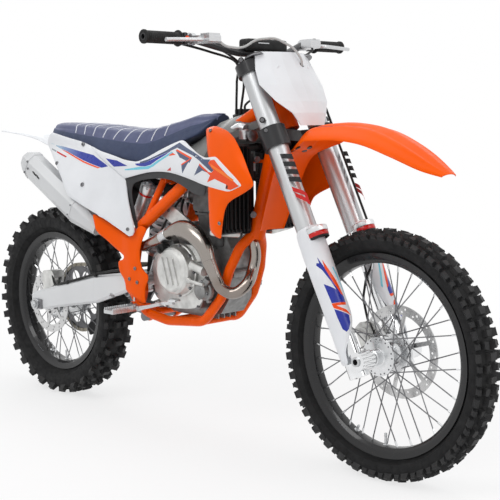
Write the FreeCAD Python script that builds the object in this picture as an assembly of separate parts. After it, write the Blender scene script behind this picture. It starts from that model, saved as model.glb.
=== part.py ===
import FreeCAD, Part
import math
import os

os.makedirs("parts", exist_ok=True)

# Motocross bike, in millimetres: +X forward, +Y to the rider's left, +Z up
# The shapes are laid out from the point on the ground below the middle of the wheelbase
# They are saved from the point on the seat where the rider sits
rider_x = -250.0
rider_z = 953.0

# Wheels and axles
wheelbase = 1485.0
front_x = wheelbase / 2
rear_x = -wheelbase / 2
running_gap = 0.3
seat_gap = 0.3

# Front tyre and rim
front_rim_seat_r = 272.0
front_rim_half_width = 26.5
front_tyre_height = 73.0
front_tyre_r = front_rim_seat_r + front_tyre_height
front_tyre_half_width = 44.0
front_lug_height = 13.0
front_lug_rows = 36
front_axle_z = front_tyre_r

# Rear tyre and rim
rear_rim_seat_r = 241.0
rear_rim_half_width = 34.0
rear_tyre_height = 97.0
rear_tyre_r = rear_rim_seat_r + rear_tyre_height
rear_tyre_half_width = 58.0
rear_lug_height = 16.0
rear_lug_rows = 30
rear_axle_z = rear_tyre_r

# Both rims
rim_depth = 21.0
rim_flange_height = 9.0
rim_flange_thickness = 4.0

# Hubs and spokes
spoke_count = 36
spoke_r = 2.0
front_flange_r = 53.5
front_flange_y = 29.0
rear_flange_r = 62.0
rear_flange_y = 36.0
flange_thickness = 6.0
front_axle_r = 13.0
rear_axle_r = 12.5
axle_bore_r = 8.0

# Brake discs and calipers
front_disc_r = 130.0
front_disc_y = 58.0
front_disc_thickness = 3.0
rear_disc_r = 110.0
rear_disc_y = -64.0
rear_disc_thickness = 4.0

# Chain drive
chain_pitch = 15.875
chain_y = 75.0
chain_half_height = 7.0
chain_plate = 2.6
chain_roller_r = 5.0
chain_inner_width = 9.0
rear_teeth = 48
front_teeth = 14
sprocket_thickness = 5.0
output_x = -105.0
output_z = 480.0

# Steering geometry
rake_deg = 26.1
fork_offset = 51.0
axle_lead = 29.0
fork_spacing = 200.0
fork_outer_r = 30.0
fork_inner_r = 24.0
fork_top_s = 903.0
fork_outer_low_s = 369.0
lower_clamp_s = 664.0
lower_clamp_height = 60.0
upper_clamp_s = 880.0
upper_clamp_height = 34.0
head_tube_r = 29.0
head_tube_low_s = 700.0
head_tube_high_s = 858.0
stem_r = 15.0

# Handlebar
bar_r = 11.1
bar_wall = 4.1
bar_half_width = 405.0
bar_x = 228.0
bar_z = 1208.0
bar_bend_y = bar_half_width - 180.0
bar_clamp_x = 278.0
bar_clamp_z = 1172.0
bar_clamp_y = 95.0
grip_r = 17.0
grip_length = 126.0
hose_r = 3.5

# Frame, swingarm and linkage
tube_r = 19.0
cradle_r = 15.0
down_tube_r = 25.0
pivot_x = -220.0
pivot_z = 463.0
arm_outer_y = 118.0
arm_width = 28.0
plate_y_in = 84.0
plate_thickness = 18.0
guard_thickness = 9.0

# Shock spring
spring_r = 35.0
spring_wire_r = 5.5
spring_pitch = 26.0
spring_length = 182.0

# Engine
case_half_width = 92.0
cover_r = 78.0
cover_x = 12.0
cover_z = 523.0
header_tail_r = 17.5
outlet_r = 19.5

radiator_inner_y = 32.0

# Sheet thickness of the moulded plastics
plastic = 3.0


def vec(x, y, z):
    return FreeCAD.Vector(x, y, z)


axis_y = vec(0, 1, 0)
rake = math.radians(rake_deg)
steer_up = vec(-math.sin(rake), 0, math.cos(rake))
steer_fore = vec(math.cos(rake), 0, math.sin(rake))
front_axle = vec(front_x, 0, front_axle_z)
rear_axle = vec(rear_x, 0, rear_axle_z)
fork_y = fork_spacing / 2


def steer_point(s, n, y):
    """A point s up the steering axis, n ahead of it and y to the left."""
    return front_axle + steer_up * s + steer_fore * (n - fork_offset) + vec(0, y, 0)


def fork_point(s, n, y):
    """A point s up the fork legs from the front axle, n ahead of their centre lines."""
    return front_axle + steer_up * s + steer_fore * (n - axle_lead) + vec(0, y, 0)


def mirror(shape):
    return shape.mirror(vec(0, 0, 0), axis_y)


def both_sides(shape):
    """A left-hand piece and its mirror image, as two solids."""
    return Part.makeCompound([shape, mirror(shape)])


def join(shapes):
    result = shapes[0]
    if len(shapes) > 1:
        result = result.fuse(shapes[1:])
    return result


def block(x0, x1, y0, y1, z0, z1):
    return Part.makeBox(x1 - x0, y1 - y0, z1 - z0, vec(x0, y0, z0))


def rod(start, end, radius):
    return Part.makeCylinder(radius, (end - start).Length, start, end - start)


def rod_y(x, z, y0, y1, radius):
    return Part.makeCylinder(radius, y1 - y0, vec(x, y0, z), axis_y)


def plate(outline, y0, y1):
    """A flat plate between y0 and y1, with its outline given as (x, z) points."""
    wire = Part.makePolygon([vec(x, y0, z) for x, z in outline] + [vec(outline[0][0], y0, outline[0][1])])
    return Part.Face(wire).extrude(vec(0, y1 - y0, 0))


def turned(centre, outline):
    """A ring turned about the Y axis through centre, from a closed outline of (y, r) points."""
    points = [centre + vec(0, y, r) for y, r in outline]
    return Part.Face(Part.makePolygon(points + [points[0]])).revolve(centre, axis_y, 360)


def corner_arc(last, corner, following, bend):
    """The entry, middle and end of the arc that rounds a corner, or None where the way is straight."""
    before = corner - last
    after = following - corner
    turn = before.getAngle(after)
    if turn < 0.01:
        return None
    reach = min(bend * math.tan(turn / 2), 0.48 * min(before.Length, after.Length))
    entry = corner - before.normalize() * reach
    leave = corner + after.normalize() * reach
    radius = reach / math.tan(turn / 2)
    middle = corner + (after - before).normalize() * (radius / math.cos(turn / 2) - radius)
    return entry, middle, leave


def bent_path(points, bend):
    """Straight runs joined by arcs of radius bend, or smaller where a run is short."""
    edges = []
    start = points[0]
    for last, corner, following in zip(points, points[1:], points[2:]):
        arc = corner_arc(last, corner, following, bend)
        if arc is None:
            continue
        entry, middle, leave = arc
        edges.append(Part.LineSegment(start, entry).toShape())
        edges.append(Part.Arc(entry, middle, leave).toShape())
        start = leave
    edges.append(Part.LineSegment(start, points[-1]).toShape())
    return Part.Wire(edges)


def rounded_plate(outline, y0, y1, bend):
    """A flat plate between y0 and y1 with rounded corners, from the (x, z) points of its outline."""
    points = [vec(x, y0, z) for x, z in outline]
    arcs = []
    for i, corner in enumerate(points):
        arc = corner_arc(points[i - 1], corner, points[(i + 1) % len(points)], bend)
        if arc is not None:
            arcs.append(arc)
    edges = []
    for i, (entry, middle, leave) in enumerate(arcs):
        edges.append(Part.LineSegment(arcs[i - 1][2], entry).toShape())
        edges.append(Part.Arc(entry, middle, leave).toShape())
    return Part.Face(Part.Wire(edges)).extrude(vec(0, y1 - y0, 0))


def tube(points, radius, bend=60.0, bore=0.0):
    path = bent_path(points, bend)
    heading = points[1] - points[0]
    solid = path.makePipeShell([Part.Wire(Part.makeCircle(radius, points[0], heading))], True, False)
    if bore > 0:
        inside = path.makePipeShell([Part.Wire(Part.makeCircle(bore, points[0], heading))], True, False)
        solid = solid.cut(inside)
    return solid


def skin(sections, ruled=False):
    """A solid through closed sections that all have the same number of points."""
    wires = [Part.makePolygon(list(s) + [s[0]]) for s in sections]
    return Part.makeLoft(wires, True, ruled)


def band(outer, offset):
    """A thin closed section: the outer points, then the same points moved by offset, in reverse."""
    return list(outer) + [p + offset for p in reversed(outer)]


def save(name, shape):
    shape = shape.copy()
    shape.translate(vec(-rider_x, 0, -rider_z))
    print(name, "solids", len(shape.Solids), "valid", shape.isValid(), "volume", round(shape.Volume / 1000, 1))
    shape.exportStep("parts/" + name + ".step")


# Tyres
def tyre_profile(half_width, seat_r, seat_half, tread_r, lug):
    """Half of the casing's cross section as (y, r), from the bead to the tread's edge."""
    carcass_r = tread_r - lug
    height = carcass_r - seat_r
    return [
        (seat_half, seat_r),
        (seat_half, seat_r + rim_flange_height + 2.5),
        (half_width * 0.94, seat_r + height * 0.55),
        (half_width * 0.84, carcass_r - 8.0),
        (half_width * 0.34, carcass_r),
    ]


def tyre(centre, half_width, seat_r, seat_half, tread_r, lug, rows):
    """A knobby tyre of flat facets, with the middle and the two shoulder lugs in turn."""
    facets = rows * 2
    step = 2 * math.pi / facets
    inner_r = (seat_r + seat_gap) / math.cos(step / 2)
    half = tyre_profile(half_width, inner_r, seat_half, tread_r, lug)
    profile = [(-y, r) for y, r in half] + [(y, r) for y, r in reversed(half)]
    count = len(profile)
    shoulder = count // 2 - 2
    middle = count // 2 - 1
    taper = 2.5

    def place(pair, angle):
        return centre + vec(pair[1] * math.sin(angle), pair[0], pair[1] * math.cos(angle))

    def quad(a, b, t0, t1):
        corners = [place(a, t0), place(b, t0), place(b, t1), place(a, t1)]
        return Part.Face(Part.makePolygon(corners + [corners[0]]))

    faces = []
    for k in range(facets):
        t0 = k * step
        t1 = t0 + step
        raised = [middle] if k % 2 == 0 else [shoulder, count - 2 - shoulder]
        for i in range(count):
            a = profile[i]
            b = profile[(i + 1) % count]
            if i not in raised:
                faces.append(quad(a, b, t0, t1))
                continue
            run = math.hypot(b[0] - a[0], b[1] - a[1])
            along = ((b[0] - a[0]) / run, (b[1] - a[1]) / run)
            out = (-along[1], along[0])
            top_a = (a[0] + out[0] * lug + along[0] * taper, a[1] + out[1] * lug + along[1] * taper)
            top_b = (b[0] + out[0] * lug - along[0] * taper, b[1] + out[1] * lug - along[1] * taper)
            faces.append(quad(a, top_a, t0, t1))
            faces.append(quad(top_a, top_b, t0, t1))
            faces.append(quad(top_b, b, t0, t1))
            for t in (t0, t1):
                ends = [place(a, t), place(top_a, t), place(top_b, t), place(b, t)]
                faces.append(Part.Face(Part.makePolygon(ends + [ends[0]])))
    shell = Part.makeShell(faces)
    shell.sewShape()
    solid = Part.makeSolid(Part.Shell(shell.Faces))
    if solid.Volume < 0:
        solid.reverse()
    return solid


# Rims, hubs, discs and sprocket
def rim(centre, seat_r, half_width):
    inner_r = seat_r - rim_depth
    flange_r = seat_r + rim_flange_height
    lip = half_width - rim_flange_thickness
    half = [
        (half_width * 0.4, inner_r),
        (half_width - 2.5, seat_r - 9.0),
        (half_width, flange_r),
        (lip, flange_r),
        (lip - 1.5, seat_r),
        (half_width * 0.3, seat_r - 5.0),
    ]
    return turned(centre, half + [(-y, r) for y, r in reversed(half)])


def spoked_hub(centre, flange_r, flange_y, rim_inner_r, tube_r, left_end, right_end, bore, disc_seats):
    """The hub shell with its bore, and the crossed spokes out to the rim."""
    outline = [
        (right_end, bore),
        (right_end, tube_r),
        (-flange_y - flange_thickness, tube_r + 2),
        (-flange_y - flange_thickness, flange_r),
        (-flange_y, flange_r),
        (-flange_y + 8, tube_r + 3),
        (flange_y - 8, tube_r + 3),
        (flange_y, flange_r),
        (flange_y + flange_thickness, flange_r),
        (flange_y + flange_thickness, tube_r + 2),
        (left_end, tube_r),
        (left_end, bore),
    ]
    hub = turned(centre, outline)
    pieces = []
    for seat_y0, seat_y1, seat_r in disc_seats:
        pieces.append(turned(centre, [(seat_y0, tube_r - 1), (seat_y0, seat_r), (seat_y1, seat_r),
                                      (seat_y1, tube_r - 1)]))
    lead = math.radians(62)
    for k in range(spoke_count):
        side = 1 if k % 2 == 0 else -1
        turn = lead if (k // 2) % 2 == 0 else -lead
        angle = 2 * math.pi * k / spoke_count
        hub_angle = angle + turn
        lean = 1.5 if turn > 0 else flange_thickness - 1.5
        hub_r = flange_r - 6
        start = centre + vec(hub_r * math.sin(hub_angle), side * (flange_y + lean), hub_r * math.cos(hub_angle))
        end_r = rim_inner_r - seat_gap - 0.8
        end = centre + vec(end_r * math.sin(angle), side * 4, end_r * math.cos(angle))
        heading = (end - start).normalize()
        across = heading.cross(axis_y).normalize()
        other = heading.cross(across)
        corners = [start + across * spoke_r, start + other * spoke_r, start - across * spoke_r,
                   start - other * spoke_r]
        pieces.append(Part.Face(Part.makePolygon(corners + [corners[0]])).extrude(end - start))
    return hub.fuse(pieces)


def brake_disc(centre, y, thickness, outer_r, inner_r, holes, arms):
    """A brake disc with a ring of slots and the arms that carry it."""
    half = thickness / 2
    ring_r = outer_r - 26
    ring = turned(centre, [(y - half, ring_r), (y - half, outer_r), (y + half, outer_r), (y + half, ring_r)])
    eye = turned(centre, [(y - half, inner_r), (y - half, inner_r + 12), (y + half, inner_r + 12),
                          (y + half, inner_r)])
    cuts = []
    for k in range(holes):
        angle = 2 * math.pi * k / holes
        for r in (outer_r - 9, outer_r - 18):
            x = centre.x + r * math.sin(angle + r * 0.01)
            z = centre.z + r * math.cos(angle + r * 0.01)
            cuts.append(rod_y(x, z, y - thickness, y + thickness, 3.2))
    ring = ring.cut(cuts)
    spokes = []
    for k in range(arms):
        angle = 2 * math.pi * k / arms
        out = vec(math.sin(angle), 0, math.cos(angle))
        lead = vec(math.cos(angle), 0, -math.sin(angle))
        base = centre + vec(0, y - half, 0)
        low = base + out * (inner_r + 6)
        high = base + out * (ring_r + 5) + lead * 18
        corners = [low - lead * 7, high - lead * 6, high + lead * 6, low + lead * 7]
        spokes.append(Part.Face(Part.makePolygon(corners + [corners[0]])).extrude(vec(0, thickness, 0)))
    return ring.fuse([eye] + spokes).removeSplitter()


def sprocket(centre, y, teeth, thickness, bore_r, windows, phase, relief):
    """A chain sprocket whose gaps leave room, by relief, for the chain's rollers."""
    pitch_r = chain_pitch / (2 * math.sin(math.pi / teeth))
    root_r = pitch_r - chain_roller_r - relief
    tip_r = pitch_r + 4.5
    step = 2 * math.pi / teeth
    outline = []
    for k in range(teeth):
        for share, r in ((0.34, root_r), (0.46, tip_r), (0.54, tip_r), (0.66, root_r)):
            angle = phase + step * (k + share)
            outline.append((centre.x + r * math.sin(angle), centre.z + r * math.cos(angle)))
    blank = plate(outline, y - thickness / 2, y + thickness / 2)
    if bore_r < 15:
        return blank.cut(rod_y(centre.x, centre.z, y - thickness, y + thickness, bore_r))
    cuts = [rod_y(centre.x, centre.z, y - thickness, y + thickness, bore_r)]
    for k in range(windows):
        angle = 2 * math.pi * (k + 0.5) / windows
        r = (root_r + bore_r) / 2 + 4
        size = (root_r - bore_r) * 0.3
        cuts.append(rod_y(centre.x + r * math.sin(angle), centre.z + r * math.cos(angle),
                          y - thickness, y + thickness, size))
    return blank.cut(cuts)


# Chain
def chain_lay():
    """The chain's straight runs, wraps and number of links, seen from the left as (x, z)."""
    rear_r = chain_pitch / (2 * math.sin(math.pi / rear_teeth))
    front_r = chain_pitch / (2 * math.sin(math.pi / front_teeth))
    dx = output_x - rear_x
    dz = output_z - rear_axle_z
    centres = math.hypot(dx, dz)
    slope = math.atan2(dz, dx)
    spread = math.asin((rear_r - front_r) / centres)
    run = centres * math.cos(spread)
    rear_links = (math.pi + 2 * spread) / (2 * math.pi) * rear_teeth
    front_links = (math.pi - 2 * spread) / (2 * math.pi) * front_teeth
    links = 2 * round((2 * run / chain_pitch + rear_links + front_links) / 2)
    run_links = (links - rear_links - front_links) / 2
    return rear_r, front_r, slope, spread, run, run_links, front_links, links


def sprocket_phases():
    """The turn of each sprocket that puts its gaps under the chain's rollers."""
    rear_r, front_r, slope, spread, run, run_links, front_links, links = chain_lay()
    first = math.ceil(run_links) - run_links
    return spread - slope, spread - slope + first * 2 * math.pi / front_teeth


def chain_route():
    """The chain's pins as (x, z) points in order, from the top of the rear sprocket."""
    rear_r, front_r, slope, spread, run, run_links, front_links, links = chain_lay()
    top = slope + math.pi / 2 - spread
    low = slope - math.pi / 2 + spread
    step = run / run_links
    points = []
    for k in range(links):
        if k < run_links:
            d = k * step
            points.append((rear_x + rear_r * math.cos(top) + d * math.cos(slope - spread),
                           rear_axle_z + rear_r * math.sin(top) + d * math.sin(slope - spread)))
        elif k < run_links + front_links:
            angle = top - (k - run_links) * 2 * math.pi / front_teeth
            points.append((output_x + front_r * math.cos(angle), output_z + front_r * math.sin(angle)))
        elif k < 2 * run_links + front_links:
            d = (k - run_links - front_links) * step
            points.append((output_x + front_r * math.cos(low) - d * math.cos(slope + spread),
                           output_z + front_r * math.sin(low) - d * math.sin(slope + spread)))
        else:
            angle = low - (k - 2 * run_links - front_links) * 2 * math.pi / rear_teeth
            points.append((rear_x + rear_r * math.cos(angle), rear_axle_z + rear_r * math.sin(angle)))
    return points


def chain():
    """Two side bands of plates round the whole loop, with a roller at every second pin."""
    route = chain_route()
    count = len(route)
    outer = []
    inner = []
    for k in range(count):
        before = route[k - 1]
        after = route[(k + 1) % count]
        length = math.hypot(after[0] - before[0], after[1] - before[1])
        nx = -(after[1] - before[1]) / length
        nz = (after[0] - before[0]) / length
        x, z = route[k]
        turn = (x - before[0]) * (after[1] - z) - (z - before[1]) * (after[0] - x)
        if abs(turn) < 1.0:
            continue
        outer.append((route[k][0] + nx * chain_half_height, route[k][1] + nz * chain_half_height))
        inner.append((route[k][0] - nx * chain_half_height, route[k][1] - nz * chain_half_height))
    solids = []
    half = chain_inner_width / 2
    roller = chain_roller_r - 0.3
    for y0, y1 in ((half, half + chain_plate), (-half - chain_plate, -half)):
        around = plate(outer, chain_y + y0, chain_y + y1)
        solids.append(around.cut(plate(inner, chain_y + y0 - 1, chain_y + y1 + 1)))
    for k in range(0, count, 2):
        before = route[k - 1]
        after = route[(k + 1) % count]
        lie = math.atan2(after[1] - before[1], after[0] - before[0])
        corners = []
        for j in range(4):
            angle = lie + math.pi / 2 * j
            corners.append((route[k][0] + roller * math.cos(angle), route[k][1] + roller * math.sin(angle)))
        solids.append(plate(corners, chain_y - half - 1, chain_y + half + 1))
    return join(solids)


def build_wheels():
    front_seat_half = front_rim_half_width - rim_flange_thickness - 2.0
    rear_seat_half = rear_rim_half_width - rim_flange_thickness - 2.0
    save("front_tyre", tyre(front_axle, front_tyre_half_width, front_rim_seat_r, front_seat_half,
                            front_tyre_r, front_lug_height, front_lug_rows))
    save("rear_tyre", tyre(rear_axle, rear_tyre_half_width, rear_rim_seat_r, rear_seat_half,
                           rear_tyre_r, rear_lug_height, rear_lug_rows))
    save("front_rim", rim(front_axle, front_rim_seat_r, front_rim_half_width))
    save("rear_rim", rim(rear_axle, rear_rim_seat_r, rear_rim_half_width))
    disc_face = front_disc_y - front_disc_thickness / 2 - seat_gap
    save("front_hub_spokes", spoked_hub(front_axle, front_flange_r, front_flange_y,
                                        front_rim_seat_r - rim_depth, 22.0, 62.0, -62.0,
                                        front_axle_r + running_gap, [(disc_face - 8, disc_face, 48.0)]))
    face = rear_disc_y + rear_disc_thickness / 2 + seat_gap
    carrier = chain_y - sprocket_thickness / 2 - seat_gap
    save("rear_hub_spokes", spoked_hub(rear_axle, rear_flange_r, rear_flange_y, rear_rim_seat_r - rim_depth,
                                       26.0, 78.0, -72.0, rear_axle_r + running_gap,
                                       [(face, face + 8, 50.0), (carrier - 12, carrier, 62.0)]))
    save("front_disc", brake_disc(front_axle, front_disc_y, front_disc_thickness, front_disc_r, 30.0, 18, 6))
    save("rear_disc", brake_disc(rear_axle, rear_disc_y, rear_disc_thickness, rear_disc_r, 32.0, 16, 6))
    save("rear_sprocket", sprocket(rear_axle, chain_y, rear_teeth, sprocket_thickness, 34.0, 8,
                                  sprocket_phases()[0], 0.6))


def build_drive():
    output = vec(output_x, 0, output_z)
    save("front_sprocket", sprocket(output, chain_y, front_teeth, sprocket_thickness, 12.0, 0,
                                   sprocket_phases()[1], 0.0))
    save("chain", chain())


def upper_tube_route(side):
    return [vec(345, side * 22, 1035), vec(180, side * 60, 935), vec(21, side * 98, 775),
            vec(-174, side * 98, 646), vec(-228, side * 96, 560)]


def cradle_side(side):
    """One side of the frame: the upper tube, the pivot plate and the lower cradle tube."""
    upper = tube(upper_tube_route(side), tube_r, 90)
    strut = tube([vec(-160, side * 95, 655), vec(-86, side * 73, 798)], 11)
    cradle = tube([vec(257, side * 6, 655), vec(226, side * 46, 606), vec(198, side * 66, 534),
                   vec(166, side * 67, 450), vec(90, side * 72, 366), vec(-70, side * 80, 352),
                   vec(-160, side * 96, 372), vec(-190, side * 100, 412)], cradle_r, 70)
    outline = [(-205, 600), (-188, 575), (-200, 520), (-168, 490), (-160, 440), (-172, 405), (-212, 395),
               (-252, 440), (-268, 500), (-252, 570), (-245, 600)]
    pivot_plate = plate(outline, plate_y_in, plate_y_in + plate_thickness)
    if side < 0:
        pivot_plate = mirror(pivot_plate)
    bracket = block(-212, -138, 96, 116, 378, 402)
    lug = plate([(-148, 384), (-148, 358), (-190, 334), (-212, 338), (-212, 364), (-180, 384)], 50, 60)
    tab = plate([(-78, 812), (-78, 788), (-112, 776), (-126, 790), (-112, 804)], 20.3, 27)
    extra = [bracket, lug, tab] if side > 0 else [mirror(bracket), mirror(lug), mirror(tab)]
    return [upper, strut, cradle, pivot_plate] + extra


def main_frame():
    head_low = steer_point(head_tube_low_s, 0, 0)
    head_high = steer_point(head_tube_high_s, 0, 0)
    head = rod(head_low, head_high, head_tube_r)
    down = rod(vec(352, 0, 985), vec(249, 0, 633), down_tube_r)
    pieces = [head, down]
    for side in (1, -1):
        pieces = pieces + cradle_side(side)
    pieces.append(rod(vec(80, -72, 364), vec(80, 72, 364), 10))
    pieces.append(rod(vec(-70, -80, 352), vec(-70, 80, 352), 10))
    pieces.append(rod(vec(-85, -78, 800), vec(-85, 78, 800), 14))
    pieces.append(rod(vec(-150, -92, 370), vec(-150, 92, 370), 11))
    for z in (700, 860):
        tube_x = 251 + (z - 640) * 101 / 345
        pieces.append(rod(vec(tube_x, 0, z), vec(241, 0, z), 5))
        pieces.append(rod_y(240, z, seat_gap - radiator_inner_y, radiator_inner_y - seat_gap, 7))
    frame = join(pieces)
    bore = rod(steer_point(head_tube_low_s - 40, 0, 0), steer_point(head_tube_high_s + 40, 0, 0),
               stem_r + running_gap)
    pivot_hole = rod_y(pivot_x, pivot_z, -200, 200, 8)
    link_hole = rod_y(-195, 350, -200, 200, 12.3)
    eye_hole = rod_y(-112, 790, -200, 200, 8.3)
    return frame.cut([bore, pivot_hole, link_hole, eye_hole])


def subframe_tubes(extra):
    """The rear rails and their braces, with every radius larger by extra."""
    pieces = []
    for side in (1, -1):
        pieces.append(tube([vec(-99.3, side * 68, 803), vec(-300, side * 62, 840), vec(-625, side * 47, 880)],
                           10 + extra, 80))
        pieces.append(tube([vec(-222, side * 92, 590), vec(-290, side * 72, 680), vec(-505, side * 55, 849)],
                           9 + extra, 60))
    pieces.append(rod(vec(-330, -60, 843), vec(-330, 60, 843), 8 + extra))
    pieces.append(rod(vec(-560, -50, 872), vec(-560, 50, 872), 8 + extra))
    return pieces


def subframe():
    """The rails that carry the seat, with the posts that hold the rear fender."""
    posts = [rod(vec(-612, side * 47.6, 876), vec(-612, side * 47.6, 893.5), 9) for side in (1, -1)]
    return join(subframe_tubes(0) + posts).cut(rear_fender())


def subframe_clearance():
    return join(subframe_tubes(seat_gap))


def swingarm():
    """Two tapered beams joined by a cross piece, with slotted axle blocks at their ends."""
    def section(x, y_in, y_out, z_low, z_high, edge):
        return [vec(x, y_in + edge, z_low), vec(x, y_out - edge, z_low), vec(x, y_out, z_low + edge),
                vec(x, y_out, z_high - edge), vec(x, y_out - edge, z_high), vec(x, y_in + edge, z_high),
                vec(x, y_in, z_high - edge), vec(x, y_in, z_low + edge)]
    inner = arm_outer_y - arm_width
    stations = [
        section(pivot_x - 18, 50, 80, 440, 486, 6),
        section(-268, 56, 83, 428, 485, 8),
        section(-310, 64, 94, 410, 482, 8),
        section(-410, inner - 4, arm_outer_y - 2, 374, 468, 8),
        section(-560, inner, arm_outer_y, 348, 430, 8),
        section(-775, inner, arm_outer_y, 308, 376, 8),
    ]
    beam = skin(stations, True)
    eye = rod_y(pivot_x, pivot_z, 50, 80, 27)
    arm = beam.fuse(eye)
    arms = [arm, mirror(arm)]
    cross = block(-348, -302, -84, 84, 436, 474)
    pivot_tube = rod_y(pivot_x, pivot_z, -52, 52, 18)
    lug = plate([(-346, 440), (-350, 402), (-336, 394), (-322, 402), (-304, 440)], 26, 34)
    body = join(arms + [cross, pivot_tube, lug, mirror(lug)])
    slot = block(rear_x - 22, rear_x + 22, -200, 200, rear_axle_z - rear_axle_r - seat_gap,
                 rear_axle_z + rear_axle_r + seat_gap)
    return body.cut([slot, rod_y(pivot_x, pivot_z, -200, 200, 8), rod_y(-336, 406, -200, 200, 8.3)])


def build_frame():
    frame = main_frame()
    save("main_frame", frame)
    save("subframe", subframe().cut(frame))
    save("swingarm", swingarm())
    bolt_end = plate_y_in + plate_thickness + 4
    save("swingarm_pivot_bolt", rod_y(pivot_x, pivot_z, -bolt_end, bolt_end, 7.7))
    axle_reach = arm_outer_y + 12
    axle = rod_y(rear_x, rear_axle_z, -axle_reach, axle_reach, rear_axle_r)
    axle = axle.cut(rod_y(rear_x, rear_axle_z, -200, 200, axle_bore_r))
    arm_face = arm_outer_y + seat_gap
    for y0, y1 in ((arm_face, axle_reach), (-axle_reach, -arm_face), (78.6, 89.7)):
        collar = rod_y(rear_x, rear_axle_z, y0, y1, 19)
        axle = axle.fuse(collar.cut(rod_y(rear_x, rear_axle_z, -200, 200, axle_bore_r)))
    save("rear_axle", axle)
    y0 = 98 + tube_r + seat_gap
    y1 = y0 + guard_thickness
    guard = rounded_plate([(-190, 645), (-160, 625), (-170, 560), (-174, 520), (-144, 496), (-130, 468),
                           (-142, 440), (-150, 406), (-172, 404), (-240, 436), (-262, 470), (-285, 500),
                           (-285, 532), (-250, 548), (-250, 590), (-226, 612)], y0, y1, 16)
    arm = skin([[vec(-250, y0, 548), vec(-250, y1, 548), vec(-250, y1, 590), vec(-250, y0, 590)],
                [vec(-310, y0 + 10, 572), vec(-310, y1 + 10, 572), vec(-310, y1 + 10, 640),
                 vec(-310, y0 + 10, 640)],
                [vec(-400, y0 + 60, 630), vec(-400, y1 + 60, 630), vec(-400, y1 + 60, 682),
                 vec(-400, y0 + 60, 682)]], True)
    save("frame_guards", both_sides(guard.fuse(arm)))


def engine_case():
    middle = [(-150, 560), (-120, 600), (40, 640), (165, 640), (186, 600), (176, 440), (140, 392), (-80, 378),
              (-140, 410), (-160, 470)]
    body = rounded_plate(middle, -48, 48, 14)
    gearbox = rounded_plate([(-146, 560), (-118, 596), (-20, 600), (-20, 395), (-134, 412), (-154, 470)],
                            -62, 62, 12)
    right = rounded_plate([(-125, 560), (-60, 592), (20, 606), (130, 600), (146, 540), (128, 470), (94, 408),
                           (-60, 396), (-118, 430)], -case_half_width, 0, 20)
    left = rounded_plate([(-50, 575), (20, 600), (130, 600), (146, 540), (128, 470), (94, 408), (-50, 396)],
                         0, case_half_width, 20)
    front_lug = rod_y(190, 520, -50.4, 50.4, 13)
    shaft = rod_y(output_x, output_z, 60, chain_y + sprocket_thickness, 11.7)
    filter_housing = rod(vec(92, -101, 540), vec(136, -101, 546), 15)
    filter_cap = rod(vec(134, -101, 545.7), vec(141, -101, 546.7), 17)
    oil_neck = rod_y(-19, 604, -106, -case_half_width + 10, 11)
    sump_ribs = [block(-70, 118, y - 2, y + 2, 374, 392) for y in (-36, -12, 12, 36)]
    return join([body, gearbox, right, left, front_lug, shaft, filter_housing, filter_cap, oil_neck]
                + sump_ribs)


def cylinder_head():
    """The barrel, the head with its cover, the exhaust port, the inlet stub and the stay's lug."""
    barrel = rounded_plate([(48, 600), (158, 600), (158, 705), (48, 705)], -52, 52, 10)
    head = rounded_plate([(40, 705), (172, 705), (172, 765), (40, 765)], -66, 66, 12)
    cover = rounded_plate([(48, 750), (160, 750), (160, 790), (146, 802), (62, 802), (48, 790)], -58, 58, 12)
    base = block(42, 164, -60, 60, 694, 700)
    port = rod(vec(150, -10, 690), vec(184, -10, 662), 25)
    inlet = rod(vec(60, 0, 736), vec(-24, 0, 748), 26)
    inlet_band = rod(vec(8, 0, 743.4), vec(-4, 0, 745.1), 29)
    lug = block(16, 52, -20, 20, 652, 682)
    return join([barrel, head, cover, base, port, inlet, inlet_band, lug])


def head_stays():
    """The two plates that tie the cylinder head to the frame's upper tubes, with their bolt."""
    side = plate([(-98, 690), (-62, 722), (-20, 706), (34, 676), (42, 660), (-30, 652)], 71, 78.6)
    bolt = rod_y(30, 667, -78, 78, 5)
    return join([side, mirror(side), bolt])


def clutch_cover():
    """The round cover on the right, with its stepped rim, domed edge and three raised ribs."""
    back = -case_half_width - seat_gap
    face = -case_half_width - 50
    rim = -case_half_width - 20
    outline = [(back, 0), (back, cover_r + 4), (rim + 6, cover_r + 4), (rim + 4, cover_r), (rim - 4, cover_r - 2),
               (face + 12, cover_r - 6), (face + 4, cover_r - 12), (face, cover_r - 20), (face, 0)]
    pieces = [turned(vec(cover_x, 0, cover_z), outline)]
    for shift in (-24, 0, 24):
        x = cover_x + shift
        pieces.append(rounded_plate([(x - 18, cover_z + 42), (x - 9, cover_z + 42), (x + 18, cover_z - 42),
                                     (x + 9, cover_z - 42)], face - 3.5, face + 4, 4))
    return join(pieces)


def water_pump():
    """The pump's stepped housing with the spigot that leads up behind the header pipe."""
    back = -case_half_width - seat_gap
    outline = [(back, 0), (back, 31), (-case_half_width - 12, 31), (-case_half_width - 16, 27),
               (-case_half_width - 32, 24), (-case_half_width - 38, 17), (-case_half_width - 38, 0)]
    housing = turned(vec(128, 0, 471), outline)
    spigot = rod(vec(128, -case_half_width - 22, 478), vec(152, -case_half_width - 18, 510), 11)
    lugs = [rod_y(128 + 34 * math.cos(a), 471 + 34 * math.sin(a), back - 9.7, back, 6)
            for a in (math.radians(200), math.radians(290))]
    return join([housing, spigot] + lugs)


def ignition_cover():
    """The round cover on the left, with a stepped edge and three ribs."""
    outer = case_half_width + 32
    outline = [(case_half_width + seat_gap, 0), (case_half_width + seat_gap, 64), (case_half_width + 10, 64),
               (case_half_width + 13, 60), (outer - 8, 56), (outer - 2, 50), (outer, 42), (outer, 0)]
    pieces = [turned(vec(95, 0, 480), outline)]
    for z in (458, 480, 502):
        pieces.append(rounded_plate([(62, z - 3), (128, z - 3), (128, z + 3), (62, z + 3)],
                                    outer - 3, outer + 3, 2))
    return join(pieces)


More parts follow.
